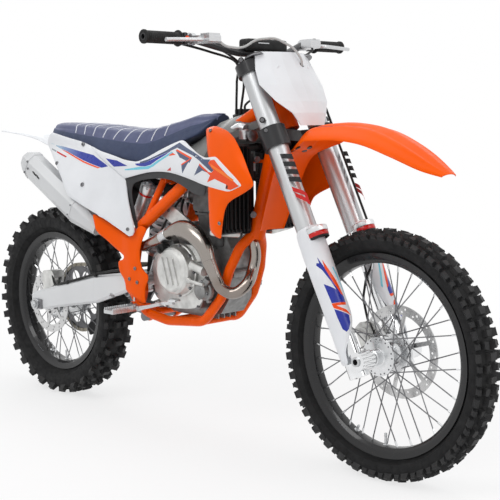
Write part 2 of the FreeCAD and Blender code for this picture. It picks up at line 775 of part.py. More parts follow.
def build_engine():
    case = engine_case()
    save("engine_case", case)
    stay_hole = rod_y(30, 667, -200, 200, 5.3)
    save("cylinder_head", cylinder_head().cut([case, stay_hole]))
    save("clutch_cover", clutch_cover().cut(case))
    save("water_pump", water_pump())
    save("ignition_cover", ignition_cover())
    port_face = vec(184, -10, 662) + (vec(184, -10, 662) - vec(150, -10, 690)).normalize() * seat_gap * 2
    header = tube([port_face, vec(200, -10, 649), vec(212, -5, 612), vec(240, -4, 574), vec(272, -34, 548),
                   vec(268, -62, 496), vec(228, -84, 462),
                   vec(202, -106, 472), vec(176, -118, 540), vec(146, -120, 610), vec(93, -122, 637),
                   vec(-30, -120, 634), vec(-104, -110, 607), vec(-180, -58, 584), vec(-290, -62, 588),
                   vec(-375, -112, 625)], header_tail_r, 60)
    bulge = tube([vec(150, -120, 600), vec(93, -122, 637), vec(0, -120, 638)], 27, 60)
    start = vec(-375, -112, 625) + vec(-85, -50, 37).normalize() * seat_gap
    muffler = silencer([start, vec(-445, -140, 686), vec(-715, -140, 836)])
    save("silencer", muffler)
    save("header_pipe", join([header, bulge]).cut(muffler))
    save("head_stays", head_stays())


def silencer(axis_points):
    """The long canister with its cone and its slanted end cap."""
    start, shoulder, end = axis_points
    heading = (end - shoulder).normalize()
    up = vec(-heading.z, 0, heading.x)
    if up.z < 0:
        up = up * -1

    def section(centre, half_height, half_width):
        corner = 0.45
        points = []
        for a, b in ((1, -corner), (1, corner), (corner, 1), (-corner, 1), (-1, corner), (-1, -corner),
                     (-corner, -1), (corner, -1)):
            points.append(centre + up * (half_height * a) + axis_y * (half_width * b))
        return points

    body = skin([section(shoulder, 46, 36), section(end, 46, 36)], True)
    cone = skin([section(start, 22, 22), section(shoulder, 46, 36)], True)
    cap = skin([section(end, 46, 36), section(end + heading * 30, 30, 26)], True)
    bands = []
    for d in (4, 290):
        bands.append(skin([section(shoulder + heading * d, 47.5, 37.5),
                           section(shoulder + heading * (d + 12), 47.5, 37.5)], True))
    outlet = rod(end - heading * 40, end + heading * 120, outlet_r)
    return join([body, cone, cap] + bands).cut(outlet)


def build_suspension():
    top = vec(-112, 0, 790)
    low = vec(-268, 0, 425)
    heading = (low - top).normalize()
    side_eye = rod_y(top.x, top.z, -28, 28, 8)
    body = join([rod(top, top + heading * 25, 13), rod(top + heading * 20, top + heading * 120, 24),
                 rod(top + heading * 110, low, 8), rod(low - heading * 34, low - heading * 6, 13),
                 rod_y(top.x, top.z, -20, 20, 14), side_eye, rod_y(low.x, low.z, -14.5, 14.5, 13),
                 rod(top + heading * 252, top + heading * 262, 39)])
    reservoir = rod(vec(-172, -64, 778), vec(-243, -64, 652), 22)
    neck = rod(top + heading * 30, vec(-180, -58, 765), 11)
    save("shock_absorber", join([body, reservoir, neck]))
    helix = Part.makeHelix(spring_pitch, spring_length, spring_r)
    wire = Part.Wire(Part.makeCircle(spring_wire_r, vec(spring_r, 0, 0), axis_y))
    coil = Part.Wire(helix.Edges).makePipeShell([wire], True, True)
    turn = FreeCAD.Rotation(vec(0, 0, 1), heading)
    coil.Placement = FreeCAD.Placement(top + heading * 64, turn)
    save("shock_spring", coil)
    rocker = plate([(-300, 358), (-258, 412), (-260, 436), (-280, 438), (-345, 418), (-350, 400), (-316, 364)],
                   15, 24)
    pull = plate([(-195, 336), (-304, 352), (-316, 366), (-304, 382), (-195, 364)], 24, 32)
    linkage = join([rocker, mirror(rocker), pull, mirror(pull), rod_y(-195, 350, -62, 62, 12),
                    rod_y(-336, 406, -36, 36, 8), rod_y(-306, 367, -30, 30, 7),
                    rod_y(-195, 350, -78, -60.3, 15)])
    save("shock_linkage", linkage.cut(rod_y(low.x, low.z, -14.8, 14.8, 14)))


def radiator():
    core = block(215, 250, 32, 160, 672, 890)
    tank = block(212, 252, 32, 157, 890, 912)
    low_tank = block(212, 252, 32, 157, 650, 672)
    bosses = [rod_y(244, z, 160, y, 6) for z, y in ((720, 184), (850, 181.3))]
    body = join([core, tank, low_tank] + bosses)
    bars = [block(252.3, 260, 32, 39, 655, 905), block(252.3, 260, 154, 161, 655, 905),
            block(252.3, 260, 32, 161, 655, 662), block(252.3, 260, 32, 161, 898, 905)]
    for k in range(7):
        y = 50 + k * 15.5
        bars.append(block(253, 265, y, y + 3, 655, 905))
    for k in range(3):
        z = 716 + k * 62
        bars.append(block(252.3, 258, 32, 161, z, z + 3))
    return body, join(bars)


def radiator_hoses():
    """The pipe between the two radiators and the hose that rises to it from the cylinder head."""
    cross = rod_y(232, 899, seat_gap - radiator_inner_y, radiator_inner_y - seat_gap, 11)
    riser = tube([vec(172.3, -14, 748), vec(197, -14, 748), vec(208, -14, 820), vec(212, -14, 868),
                  vec(232, -14, 899)], 11, 40)
    clips = [rod_y(232, 899, side * 24 - 4, side * 24 + 4, 13) for side in (1, -1)]
    return join([cross, riser] + clips)


# Bodywork
# Outlines as (x, z) points, seen from the side
wing_outline = [(167, 956), (185, 962), (210, 965), (237, 960), (276, 951), (317, 931), (345, 909), (371, 885),
                (394, 858), (413, 828), (426, 804), (412, 793), (380, 777), (343, 762), (316, 747), (303, 726),
                (295, 700), (285, 665), (279, 643), (254, 649), (233, 664), (232, 711), (228, 790), (235, 860),
                (205, 905), (185, 932)]
blade_outline = [(-418, 903), (-355, 885), (-287, 873), (-215, 858), (-154, 853), (-97, 870), (-41, 892),
                 (15, 911), (70, 925), (122, 904), (177, 884), (246, 877), (269, 879), (316, 853), (356, 827),
                 (388, 801), (334, 781), (282, 787), (155, 808), (88, 819), (30, 826), (-80, 824), (-136, 816),
                 (-209, 801), (-287, 838), (-359, 872)]
side_outline = [(-670, 906), (-608, 865), (-522, 803), (-458, 737), (-398, 716), (-334, 689), (-278, 666),
                (-224, 639), (-183, 617), (-169, 621), (-162, 636), (-182, 688), (-200, 732), (-213, 779),
                (-218, 799), (-287, 835), (-359, 869), (-416, 900), (-471, 915), (-539, 926), (-608, 939),
                (-643, 946)]


def shroud_surface(y_shift):
    """A sheet over the whole side that widens forward and rolls inward above the knees, left side."""
    sections = []
    for x, y in ((-430, 128), (-150, 128), (0, 143), (130, 166), (215, 183), (288, 190), (340, 193),
                 (430, 195)):
        outer = []
        for z in (636, 690, 730, 785, 840, 870, 900, 935, 970):
            roll = 44 * (max(z - 840, 0) / 120) ** 1.5 + 6 * (max(730 - z, 0) / 90) ** 2
            outer.append(vec(x, y + y_shift - roll, z))
        sections.append(band(outer, vec(0, -plastic, 0)))
    return skin(sections, True)


def shroud():
    """One radiator shroud: the forward wing under the long blade that runs back along the seat, left side."""
    wing = shroud_surface(0).common(rounded_plate(wing_outline, 0, 260, 14))
    blade = shroud_surface(plastic - 1).common(rounded_plate(blade_outline, 0, 260, 14))
    return wing.fuse(blade)


def side_panel():
    """The number panel on one side, which leans outward toward its lower edge, left side."""
    sections = []
    for x, lean, top in ((-690, 0.55, 900), (-560, 0.55, 900), (-456, 0.43, 900), (-380, 0.35, 900),
                         (-313, 0.28, 880), (-200, 0.14, 880), (-120, 0.08, 880)):
        outer = [vec(x, 112 + lean * max(top - z, 0), z) for z in (605, 660, 720, 780, 840, top, 960)]
        sections.append(band(outer, vec(0, -plastic, 0)))
    return skin(sections, True).common(rounded_plate(side_outline, 0, 320, 14))


def arch_section(centre, across, up, half_width, drop, thickness, count=8):
    """A thin arched section: an arc across, dropping at both edges."""
    outer = []
    for k in range(count + 1):
        t = -1 + 2 * k / count
        outer.append(centre + across * (half_width * t) - up * (drop * t * t))
    return band(outer, up * -thickness)


def rear_fender():
    stations = [(-560, 886, 95, 14), (-640, 910, 96, 18), (-700, 930, 96, 20), (-760, 948, 95, 22),
                (-850, 957, 90, 18), (-950, 960, 80, 12), (-1020, 958, 66, 8), (-1053, 955, 40, 4)]
    up = vec(0, 0, 1)
    return skin([arch_section(vec(x, 0, z), axis_y, up, w, d, plastic) for x, z, w, d in stations], True)


def front_fender():
    stations = [(306, 661, 50, 4, 20), (338, 750, 58, 8, 22), (372, 840, 64, 12, 26), (402, 884, 64, 14, 45),
                (450, 905, 64, 16, 60), (520, 950, 88, 30, 75), (620, 972, 95, 40, 90), (720, 960, 92, 40, 100),
                (820, 921, 84, 32, 112), (900, 873, 66, 20, 118), (947, 842, 30, 6, 120)]
    sections = []
    for x, z, half_width, drop, tilt in stations:
        angle = math.radians(tilt)
        up = vec(-math.cos(angle), 0, math.sin(angle))
        sections.append(arch_section(vec(x, 0, z), axis_y, up, half_width, drop, plastic))
    return skin(sections, True)


def number_plate():
    sections = []
    for z, half_width, x_mid, x_edge in ((965, 48, 486, 478), (1000, 70, 480, 466), (1032, 105, 468, 438),
                                         (1078, 130, 444, 398), (1120, 122, 420, 375), (1172, 104, 392, 354)):
        outer = []
        for k in range(7):
            t = -1 + k / 3
            outer.append(vec(x_mid - (x_mid - x_edge) * t * t, half_width * t, z))
        sections.append(band(outer, vec(-plastic, 0, 0)))
    return skin(sections, True)


def seat():
    """The long seat with its flat top and sloping sides."""
    stations = [(-700, 936, 974, 62, 78), (-560, 900, 969, 72, 92), (-442, 890, 965, 76, 98),
                (-306, 882, 953, 78, 100), (-192, 876, 953, 74, 98), (-113, 880, 962, 66, 92),
                (-36, 905, 981, 56, 84), (38, 935, 999, 48, 74), (110, 968, 1006, 40, 60),
                (165, 996, 1010, 32, 44)]
    sections = []
    for x, z_low, z_top, half_top, half_low in stations:
        sections.append([vec(x, -half_low, z_low), vec(x, half_low, z_low), vec(x, half_low, z_low + 8),
                         vec(x, half_top, z_top - 10), vec(x, half_top - 16, z_top), vec(x, 0, z_top + 1),
                         vec(x, -half_top + 16, z_top), vec(x, -half_top, z_top - 10),
                         vec(x, -half_low, z_low + 8)])
    return skin(sections, True)


def seat_with_feet():
    """The seat with the rubber feet that stand on the rails."""
    feet = []
    for side in (1, -1):
        feet.append(rod(vec(-330, side * 60.6, 846), vec(-330, side * 60.6, 892), 12))
        feet.append(rod(vec(-470, side * 54.2, 864), vec(-470, side * 54.2, 900), 12))
    return join([seat()] + feet).cut(subframe_clearance())


def fuel_tank():
    stations = [(-20, 850, 895, 40, 88), (60, 840, 925, 44, 118), (150, 850, 975, 48, 122),
                (206, 920, 990, 44, 118), (250, 926, 1000, 40, 98), (276, 946, 1000, 32, 54),
                (300, 960, 995, 24, 36)]
    sections = []
    for x, z_low, z_top, half_top, half_low in stations:
        sections.append([vec(x, -half_low, z_low), vec(x, half_low, z_low), vec(x, half_low, z_low + 20),
                         vec(x, half_top, z_top), vec(x, -half_top, z_top), vec(x, -half_low, z_low + 20)])
    body = skin(sections, True)
    cuts = []
    for side in (1, -1):
        cuts.append(tube(upper_tube_route(side), tube_r + seat_gap, 90))
    cuts.append(seat_clearance())
    return body.cut(cuts)


def seat_clearance():
    clear = seat().copy()
    clear.translate(vec(0, 0, -1))
    return clear.fuse(seat())


def build_bodywork():
    save("seat", seat_with_feet())
    tank = fuel_tank()
    save("fuel_tank", tank)
    save("fuel_cap", rod(vec(205, 0, 984), vec(205, 0, 1014), 30).cut(tank))
    wing = shroud()
    posts = [rod_y(-350, 846, 70, 125, 7), rod_y(-520, 867, 62.2, 127.5, 7)]
    panel = join([side_panel()] + posts)
    save("shroud_left", wing)
    save("shroud_right", mirror(wing))
    save("side_panel_left", panel)
    save("side_panel_right", mirror(panel))
    body, grille = radiator()
    body = body.cut(wing)
    save("radiators", both_sides(body))
    save("radiator_guards", both_sides(grille))
    save("radiator_hoses", radiator_hoses())
    save("rear_fender", rear_fender())
    airbox = skin([[vec(x, -w, z0), vec(x, w, z0), vec(x, w, z1), vec(x, -w, z1)]
                   for x, w, z0, z1 in ((-520, 38, 800, 868), (-380, 46, 730, 866), (-290, 47, 700, 850))], True)
    save("airbox", airbox.cut(subframe_clearance()))


def footpeg():
    """One footpeg: an open loop with two rows of teeth, on its hinge block, left side."""
    loop = block(-212, -165, 130, 226, 378, 389)
    loop = loop.cut([block(-207, -170, 136, 176, 370, 400), block(-207, -170, 181, 220, 370, 400)])
    teeth = []
    for row_x in (-212, -170):
        for k in range(12):
            y = 130.5 + k * 8
            corners = [vec(row_x, y, 388), vec(row_x, y + 7, 388), vec(row_x, y + 5, 396),
                       vec(row_x, y + 2, 396)]
            teeth.append(Part.Face(Part.makePolygon(corners + [corners[0]])).extrude(vec(5, 0, 0)))
    mount = block(-208, -170, 116.3, 131, 380, 396)
    return join([loop, mount] + teeth)


def chain_guide():
    """The channel under the swingarm's left arm that the chain's lower run passes through."""
    outer = rounded_plate([(-690, 226), (-676, 206), (-606, 232), (-590, 262), (-596, 350), (-640, 352),
                           (-668, 300)], 86, 90 - seat_gap, 8)
    inner = rounded_plate([(-690, 226), (-676, 206), (-606, 232), (-592, 262), (-604, 290), (-640, 272),
                           (-680, 250)], 60, 64, 8)
    floor = plate([(-683, 217), (-680, 209), (-606, 236), (-603, 245)], 60, 89)
    roof = plate([(-614, 272), (-614, 279), (-600, 284), (-600, 277)], 60, 89)
    return join([outer, inner, floor, roof])


def build_controls():
    save("chain_guide", chain_guide())
    save("footpegs", both_sides(footpeg()))
    boss = rod_y(-150, 389, -140, -116.3, 8)
    pedal = tube([vec(-150, -134, 389), vec(-100, -136, 400), vec(-20, -150, 420), vec(8, -168, 426),
                  vec(62, -170, 434)], 6, 30)
    save("brake_pedal", join([boss, pedal]))
    lever = tube([vec(-40, 92.3, 440), vec(-38, 132, 440), vec(90, 134, 462), vec(98, 165, 464)], 6, 18)
    save("shift_lever", lever)


def fork_leg():
    y = fork_y
    outer = rod(fork_point(fork_outer_low_s, 0, y), fork_point(fork_top_s, 0, y), fork_outer_r)
    outer = outer.cut(rod(fork_point(fork_outer_low_s - 5, 0, y), fork_point(fork_top_s - 30, 0, y),
                          fork_inner_r + seat_gap))
    inner = rod(fork_point(20, 0, y), fork_point(640, 0, y), fork_inner_r)
    shoe = rod(fork_point(-38, 0, y), fork_point(90, 0, y), 27)
    lead = rod_y(front_x, front_axle_z, y - 26, y + 26, 26)
    boss = rod(fork_point(60, 0, y), fork_point(60, 0, y + 37), 6)
    lower = join([inner, shoe, lead, boss]).cut(fork_guard())
    lower = lower.cut(rod_y(front_x, front_axle_z, -200, 200, front_axle_r + seat_gap))
    return outer, lower


def clamp(s, height, inner_height):
    bottom = s - height / 2
    pieces = []
    for side in (1, -1):
        y = side * fork_y
        pieces.append(rod(fork_point(bottom, 0, y), fork_point(bottom + height, 0, y), fork_outer_r + 9))
    mid_low = s - inner_height / 2
    base = steer_point(mid_low, 0, 0)
    corners = [(-22, -20), (5, -fork_y), (30, -fork_y - 20), (52, 8 - fork_y), (36, 0), (52, fork_y - 8),
               (30, fork_y + 20), (5, fork_y), (-22, 20)]
    points = [base + steer_fore * n + vec(0, y, 0) for n, y in corners]
    pieces.append(Part.Face(Part.makePolygon(points + [points[0]])).extrude(steer_up * inner_height))
    body = join(pieces)
    cuts = []
    for side in (1, -1):
        y = side * fork_y
        cuts.append(rod(fork_point(bottom - 5, 0, y), fork_point(bottom + height + 5, 0, y),
                        fork_outer_r + seat_gap))
    return body.cut(cuts)


def fork_guard():
    """A curved shield over the front and outside of one fork leg, left side."""
    sections = []
    for s, radius, start, end in ((0, 39, 76, 112), (36, 39, 70, 113), (84, 38, 14, 118), (120, 38, -30, 120),
                                  (170, 38, -60, 120), (250, 39, -70, 120), (340, 40, -70, 120),
                                  (385, 41, -55, 105)):
        centre = fork_point(s, 0, fork_y)
        outer = []
        inner = []
        for k in range(7):
            angle = math.radians(start + (end - start) * k / 6)
            out = steer_fore * math.cos(angle) + axis_y * math.sin(angle)
            outer.append(centre + out * radius)
            inner.append(centre + out * (radius - plastic))
        sections.append(outer + list(reversed(inner)))
    return skin(sections, True)


def bar_route():
    return [vec(bar_x, -bar_half_width, bar_z), vec(bar_x, -bar_bend_y, bar_z),
            vec(bar_clamp_x, -bar_clamp_y, bar_clamp_z), vec(bar_clamp_x, bar_clamp_y, bar_clamp_z),
            vec(bar_x, bar_bend_y, bar_z), vec(bar_x, bar_half_width, bar_z)]


def bar_lever():
    """A lever in its perch with the reservoir beside it, left side."""
    blade = tube([vec(bar_x + 34, bar_bend_y + 7, bar_z - 4), vec(bar_x + 72, bar_bend_y + 25, bar_z - 6),
                  vec(bar_x + 62, bar_bend_y + 105, bar_z - 8), vec(bar_x + 60, bar_bend_y + 150, bar_z - 10)],
                 5.5, 14)
    knuckle = rod(vec(bar_x + 36, bar_bend_y + 8, bar_z - 12), vec(bar_x + 36, bar_bend_y + 8, bar_z + 4), 9)
    perch = block(bar_x + 4, bar_x + 42, bar_bend_y - 14, bar_bend_y + 14, bar_z - 14, bar_z + 8)
    collar = rod_y(bar_x, bar_z, bar_bend_y - 2, bar_bend_y + 14, bar_r + 6)
    reservoir = rounded_plate([(bar_x + 34, bar_z - 14), (bar_x + 74, bar_z - 12), (bar_x + 74, bar_z + 10),
                               (bar_x + 34, bar_z + 10)], bar_bend_y - 40, bar_bend_y + 5, 5)
    lid = block(bar_x + 36, bar_x + 72, bar_bend_y - 38, bar_bend_y + 3, bar_z + 9, bar_z + 14)
    clear_bar = tube([vec(bar_x, bar_half_width, bar_z), vec(bar_x, bar_bend_y, bar_z),
                      vec(bar_clamp_x, bar_clamp_y, bar_clamp_z)], bar_r + seat_gap, 70)
    return join([perch, collar, reservoir, lid, knuckle, blade]).cut(clear_bar)


def bar_pad():
    back = bar_clamp_x - 16
    front = bar_clamp_x + 28
    low = bar_clamp_z + 4
    high = bar_clamp_z + 44
    pad = rounded_plate([(back, low), (front, low), (front, high), (back, high)], -88, 88, 14)
    return pad.cut(tube(bar_route(), bar_r + seat_gap, 70))


def brake_hose(radius):
    """The front brake hose: over the bar pad, through the plate and down the left leg to the caliper."""
    return tube([vec(bar_x + 64, -bar_bend_y + 38, bar_z - 5), vec(bar_x + 78, -bar_bend_y + 53, bar_z - 22),
                 vec(330, -130, 1180), vec(344, -90, 1206), vec(370, -40, 1212), vec(398, 8, 1184),
                 vec(414, 28, 1146), vec(396, 36, 1118), vec(404, 56, 1082),
                 fork_point(760, 46, 104), fork_point(300, 46, 104), fork_point(262, 44, 72),
                 fork_point(226, 10, 56), fork_point(180, -30, 62), fork_point(140, -46, 71),
                 fork_point(98, -52, 71)], radius, 60)


def build_steering():
    outer, lower = fork_leg()
    save("fork_outer_tubes", both_sides(outer))
    save("fork_lowers", both_sides(lower))
    save("fork_guards", both_sides(fork_guard()))
    lower_clamp = clamp(lower_clamp_s, lower_clamp_height, 36)
    stem = rod(steer_point(lower_clamp_s - 12, 0, 0), steer_point(upper_clamp_s + 26, 0, 0), stem_r)
    fender = front_fender()
    bosses = [rod(steer_point(lower_clamp_s - 10, n, y), steer_point(lower_clamp_s - 34.7, n, y), 8)
              for n in (4, 26) for y in (-24, 24)]
    save("lower_clamp", join([lower_clamp, stem] + bosses).cut(fender))
    upper = clamp(upper_clamp_s, upper_clamp_height, 26)
    upper = upper.cut(rod(steer_point(upper_clamp_s - 60, 0, 0), steer_point(upper_clamp_s + 60, 0, 0),
                          stem_r + seat_gap))
    mounts = []
    for y in (-48, 48):
        foot = steer_point(upper_clamp_s + 12, 2, y)
        mounts.append(rod(foot, vec(bar_clamp_x, y, bar_clamp_z - 6), 15))
    clear = rod_y(bar_clamp_x, bar_clamp_z, -bar_clamp_y, bar_clamp_y, bar_r + seat_gap)
    upper = join([upper] + mounts).cut(clear)
    save("upper_clamp", upper)
    save("handlebar", tube(bar_route(), bar_r, 70, bar_r - bar_wall))
    grip_in = bar_half_width - grip_length
    grip = rod_y(bar_x, bar_z, grip_in, bar_half_width, grip_r)
    flange = rod_y(bar_x, bar_z, grip_in, grip_in + 5, grip_r + 6)
    bar_hole = rod_y(bar_x, bar_z, grip_in - 1, bar_half_width + 1, bar_r + seat_gap)
    save("grips", both_sides(grip.fuse(flange).cut(bar_hole)))
    save("bar_levers", both_sides(bar_lever()))
    save("bar_pad", bar_pad())
    save("front_fender", fender)
    pegs = [rod(vec(345, y, 1122), vec(404, y, 1126), 6) for y in (-60, 60)]
    save("number_plate", join([number_plate()] + pegs).cut([upper, brake_hose(hose_r + 3)]))
    inner_face = fork_y - 26
    hub_end = 62.0 + 1.0
    axle = rod_y(front_x, front_axle_z, -fork_y - 30, fork_y + 30, front_axle_r)
    collars = [rod_y(front_x, front_axle_z, hub_end, inner_face - seat_gap, 19),
               rod_y(front_x, front_axle_z, -inner_face + seat_gap, -hub_end, 19)]
    save("front_axle", join([axle] + collars).cut(rod_y(front_x, front_axle_z, -200, 200, axle_bore_r)))
    caliper = front_caliper()
    save("front_caliper", caliper)
    save("front_brake_hose", brake_hose(hose_r).cut([caliper, mirror(bar_lever())]))
    save("rear_caliper", rear_caliper())


def front_caliper():
    """The two-piston caliper over the front disc, with the bracket to the left fork foot."""
    centre = fork_point(76, -56, 0)

    def around(points):
        shifted = [steer_up * a + steer_fore * b for a, b in points]
        return [(centre.x + move.x, centre.z + move.z) for move in shifted]

    body = rounded_plate(around([(-44, 8), (-30, 24), (30, 24), (42, 6), (32, -22), (-34, -22)]),
                         front_disc_y - 20, front_disc_y + 18, 12)
    bridge = rounded_plate(around([(-26, 10), (-20, 18), (20, 18), (26, 4), (18, -14), (-20, -14)]),
                           front_disc_y - 25, front_disc_y + 25, 8)
    slot = rod_y(front_x, front_axle_z, front_disc_y - 6, front_disc_y + 6, front_disc_r + 6)
    foot = rod(fork_point(70, -20, fork_y - 20), vec(centre.x, front_disc_y + 16, centre.z), 9)
    clear = rod(fork_point(0, 0, fork_y), fork_point(200, 0, fork_y), 27 + seat_gap)
    return join([body, bridge, foot]).cut([slot, clear])


def rear_caliper():
    """The caliper above the rear disc, on its carrier round the axle."""
    x, z = rear_x + 30.5, rear_axle_z + 87
    body = rounded_plate([(x - 42, z - 20), (x - 34, z + 28), (x + 22, z + 33), (x + 36, z + 12),
                          (x + 30, z - 23)], -89.6, -46, 10)
    slot = rod_y(rear_x, rear_axle_z, rear_disc_y - 7, rear_disc_y + 7, rear_disc_r + 6)
    carrier = rounded_plate([(rear_x - 20, rear_axle_z + 7), (x - 30, z - 15), (x + 25, z - 15),
                             (rear_x + 24, rear_axle_z), (rear_x, rear_axle_z - 22)], -89.6, -80, 6)
    ring = rod_y(rear_x, rear_axle_z, -89.6, -72.6, 22)
    bore = rod_y(rear_x, rear_axle_z, -200, 200, rear_axle_r + seat_gap)
    return join([body.cut(slot), carrier, ring]).cut(bore)


def main():
    build_wheels()
    build_drive()
    build_frame()
    build_engine()
    build_suspension()
    build_bodywork()
    build_controls()
    build_steering()


main()
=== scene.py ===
import bpy
import bmesh
import math
from mathutils import Matrix, Vector


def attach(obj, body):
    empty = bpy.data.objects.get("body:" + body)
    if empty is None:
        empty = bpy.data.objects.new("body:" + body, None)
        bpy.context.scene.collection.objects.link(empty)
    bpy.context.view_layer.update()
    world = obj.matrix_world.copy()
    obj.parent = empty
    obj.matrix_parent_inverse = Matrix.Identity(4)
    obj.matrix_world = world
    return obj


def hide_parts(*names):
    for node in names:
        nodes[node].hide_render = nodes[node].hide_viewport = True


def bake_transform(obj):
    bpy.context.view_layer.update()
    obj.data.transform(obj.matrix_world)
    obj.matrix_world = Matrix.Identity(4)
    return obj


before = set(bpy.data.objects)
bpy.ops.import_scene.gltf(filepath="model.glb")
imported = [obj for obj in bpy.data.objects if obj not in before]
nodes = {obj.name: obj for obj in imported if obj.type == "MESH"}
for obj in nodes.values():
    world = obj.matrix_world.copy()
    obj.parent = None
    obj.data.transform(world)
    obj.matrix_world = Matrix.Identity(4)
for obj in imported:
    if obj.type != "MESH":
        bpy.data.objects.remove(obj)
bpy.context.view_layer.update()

# Directions in the frame
LEFT = Vector((0, 1, 0))
RIGHT = -LEFT
UP = Vector((0, 0, 1))

# Sizes that several pieces share, in millimetres
HALF_BASE = 742.5
FRONT_TYRE_R = 345
REAR_TYRE_R = 338
FRONT_SEAT_R = 272
REAR_SEAT_R = 241
RIM_DEPTH = 21
LEG_Y = 100
AXLE_LEAD = 29


# Points and small helpers
def at(x, y, z):
    """A point in millimetres from the ground below the middle of the wheelbase, in the frame's metres."""
    return Vector(((x + 250) / 1000, y / 1000, (z - 953) / 1000))


def mix(a, b, t):
    return a + (b - a) * t


def bounded(value):
    return min(max(value, 0.0), 1.0)


def table_value(x, pairs):
    """The value at x in a table of (x, value) pairs, with straight runs between them."""
    if x <= pairs[0][0]:
        return pairs[0][1]
    for (x0, v0), (x1, v1) in zip(pairs, pairs[1:]):
        if x <= x1:
            return mix(v0, v1, (x - x0) / (x1 - x0))
    return pairs[-1][1]


def smooth_row(rows, t):
    """The Catmull-Rom point at t, from 0 to 1, along a list of equal tuples."""
    count = len(rows) - 1
    place = bounded(t) * count
    i = min(int(place), count - 1)
    f = place - i
    found = []
    for p, q, r, s in zip(rows[max(i - 1, 0)], rows[i], rows[i + 1], rows[min(i + 2, count)]):
        found.append(0.5 * (2 * q + (r - p) * f + (2 * p - 5 * q + 4 * r - s) * f * f
                            + (3 * q - p - 3 * r + s) * f ** 3))
    return tuple(found)


def linear(red, green, blue):
    """A linear colour from the 0 to 255 values of a screen colour."""
    def channel(value):
        v = value / 255
        return v / 12.92 if v <= 0.04045 else ((v + 0.055) / 1.055) ** 2.4
    return (channel(red), channel(green), channel(blue), 1.0)


def darker(colour, share):
    return (colour[0] * share, colour[1] * share, colour[2] * share, 1.0)


# Shader nodes
def add_node(tree, kind, values, **settings):
    """A new node: values holds its inputs by name or place, each a constant or another node's output."""
    node = tree.nodes.new("ShaderNode" + kind)
    for key, value in settings.items():
        setattr(node, key, value)
    for key, value in values.items():
        if isinstance(value, bpy.types.NodeSocket):
            tree.links.new(value, node.inputs[key])
        else:
            node.inputs[key].default_value = value
    return node


def add_ramp(tree, value, first, middle, last):
    """A colour ramp through three stops, each (position, colour)."""
    node = add_node(tree, "ValToRGB", {"Fac": value})
    stops = node.color_ramp.elements
    for stop, (position, colour) in ((stops[0], first), (stops[1], last)):
        stop.position = position
        stop.color = colour
    stops.new(middle[0]).color = middle[1]
    return node.outputs["Color"]


class Finish:
    """One procedural material, built up by its methods."""

    def __init__(self, name, colour, roughness, metallic=0.0, coat=0.0, coat_roughness=0.1):
        self.material = bpy.data.materials.new(name)
        self.material.use_nodes = True
        self.tree = self.material.node_tree
        self.shader = self.tree.nodes["Principled BSDF"]
        self.colour = colour
        for key, value in {"Base Color": colour, "Roughness": roughness, "Metallic": metallic,
                           "Specular IOR Level": 0.25, "Coat Weight": coat,
                           "Coat Roughness": coat_roughness}.items():
            self.shader.inputs[key].default_value = value
        self.coordinates = add_node(self.tree, "TexCoord", {}).outputs["Object"]

    def stretched(self, scale):
        """The object's coordinates, scaled separately along each axis."""
        return add_node(self.tree, "Mapping", {"Scale": scale, "Vector": self.coordinates}).outputs["Vector"]

    def along(self, axis):
        return add_node(self.tree, "SeparateXYZ", {"Vector": self.coordinates}).outputs[axis]

    def noise(self, scale, detail=3.0, vector=None):
        values = {"Scale": scale, "Detail": detail, "Vector": vector or self.coordinates}
        return add_node(self.tree, "TexNoise", values).outputs["Fac"]

    def cells(self, scale):
        return add_node(self.tree, "TexVoronoi", {"Scale": scale,
                                                  "Vector": self.coordinates}).outputs["Distance"]

    def remap(self, value, low, high, new_low, new_high):
        values = {"From Min": low, "From Max": high, "To Min": new_low, "To Max": new_high, "Value": value}
        return add_node(self.tree, "MapRange", values).outputs["Result"]

    def vary_colour(self, value, other, low=0.35, high=0.7):
        """Mixes the other colour in where the value is high."""
        held = self.shader.inputs["Base Color"]
        start = held.links[0].from_socket if held.is_linked else self.colour
        values = {"A": start, "B": other, "Factor": self.remap(value, low, high, 0.0, 1.0)}
        node = add_node(self.tree, "Mix", values, data_type="RGBA")
        self.tree.links.new(node.outputs["Result"], held)

    def vary_roughness(self, value, rough_low, rough_high):
        self.tree.links.new(self.remap(value, 0.3, 0.7, rough_low, rough_high),
                            self.shader.inputs["Roughness"])

    def bump(self, value, distance, strength=1.0):
        held = self.shader.inputs["Normal"]
        values = {"Strength": strength, "Distance": distance, "Height": value}
        if held.is_linked:
            values["Normal"] = held.links[0].from_socket
        self.tree.links.new(add_node(self.tree, "Bump", values).outputs["Normal"], held)


# Materials: each kind varies a little in colour and roughness and has a fine relief
def plastic(name, colour, roughness=0.32, coat=0.25, specular=None):
    made = Finish(name, colour, roughness, coat=coat, coat_roughness=0.12)
    made.vary_colour(made.noise(9.0), darker(colour, 0.93))
    made.vary_roughness(made.noise(45.0, 4.0), roughness - 0.04, roughness + 0.07)
    made.bump(made.noise(900.0, 2.0), 0.00004, 0.25)
    if specular is not None:
        made.shader.inputs["Specular IOR Level"].default_value = specular
    return made.material


def cast_metal(name, colour, roughness=0.5):
    made = Finish(name, colour, roughness, metallic=0.85)
    made.vary_colour(made.noise(30.0, 4.0), darker(colour, 0.72))
    made.vary_roughness(made.noise(60.0, 4.0), roughness - 0.12, roughness + 0.12)
    made.bump(made.noise(650.0, 3.0), 0.00015, 0.5)
    return made.material


def machined_metal(name, colour, roughness=0.3, along=(40.0, 600.0, 40.0)):
    made = Finish(name, colour, roughness, metallic=1.0)
    brushed = made.noise(1.0, 3.0, made.stretched(along))
    made.vary_colour(made.noise(16.0), darker(colour, 0.8))
    made.vary_roughness(brushed, roughness - 0.09, roughness + 0.1)
    made.bump(brushed, 0.00003, 0.4)
    return made.material


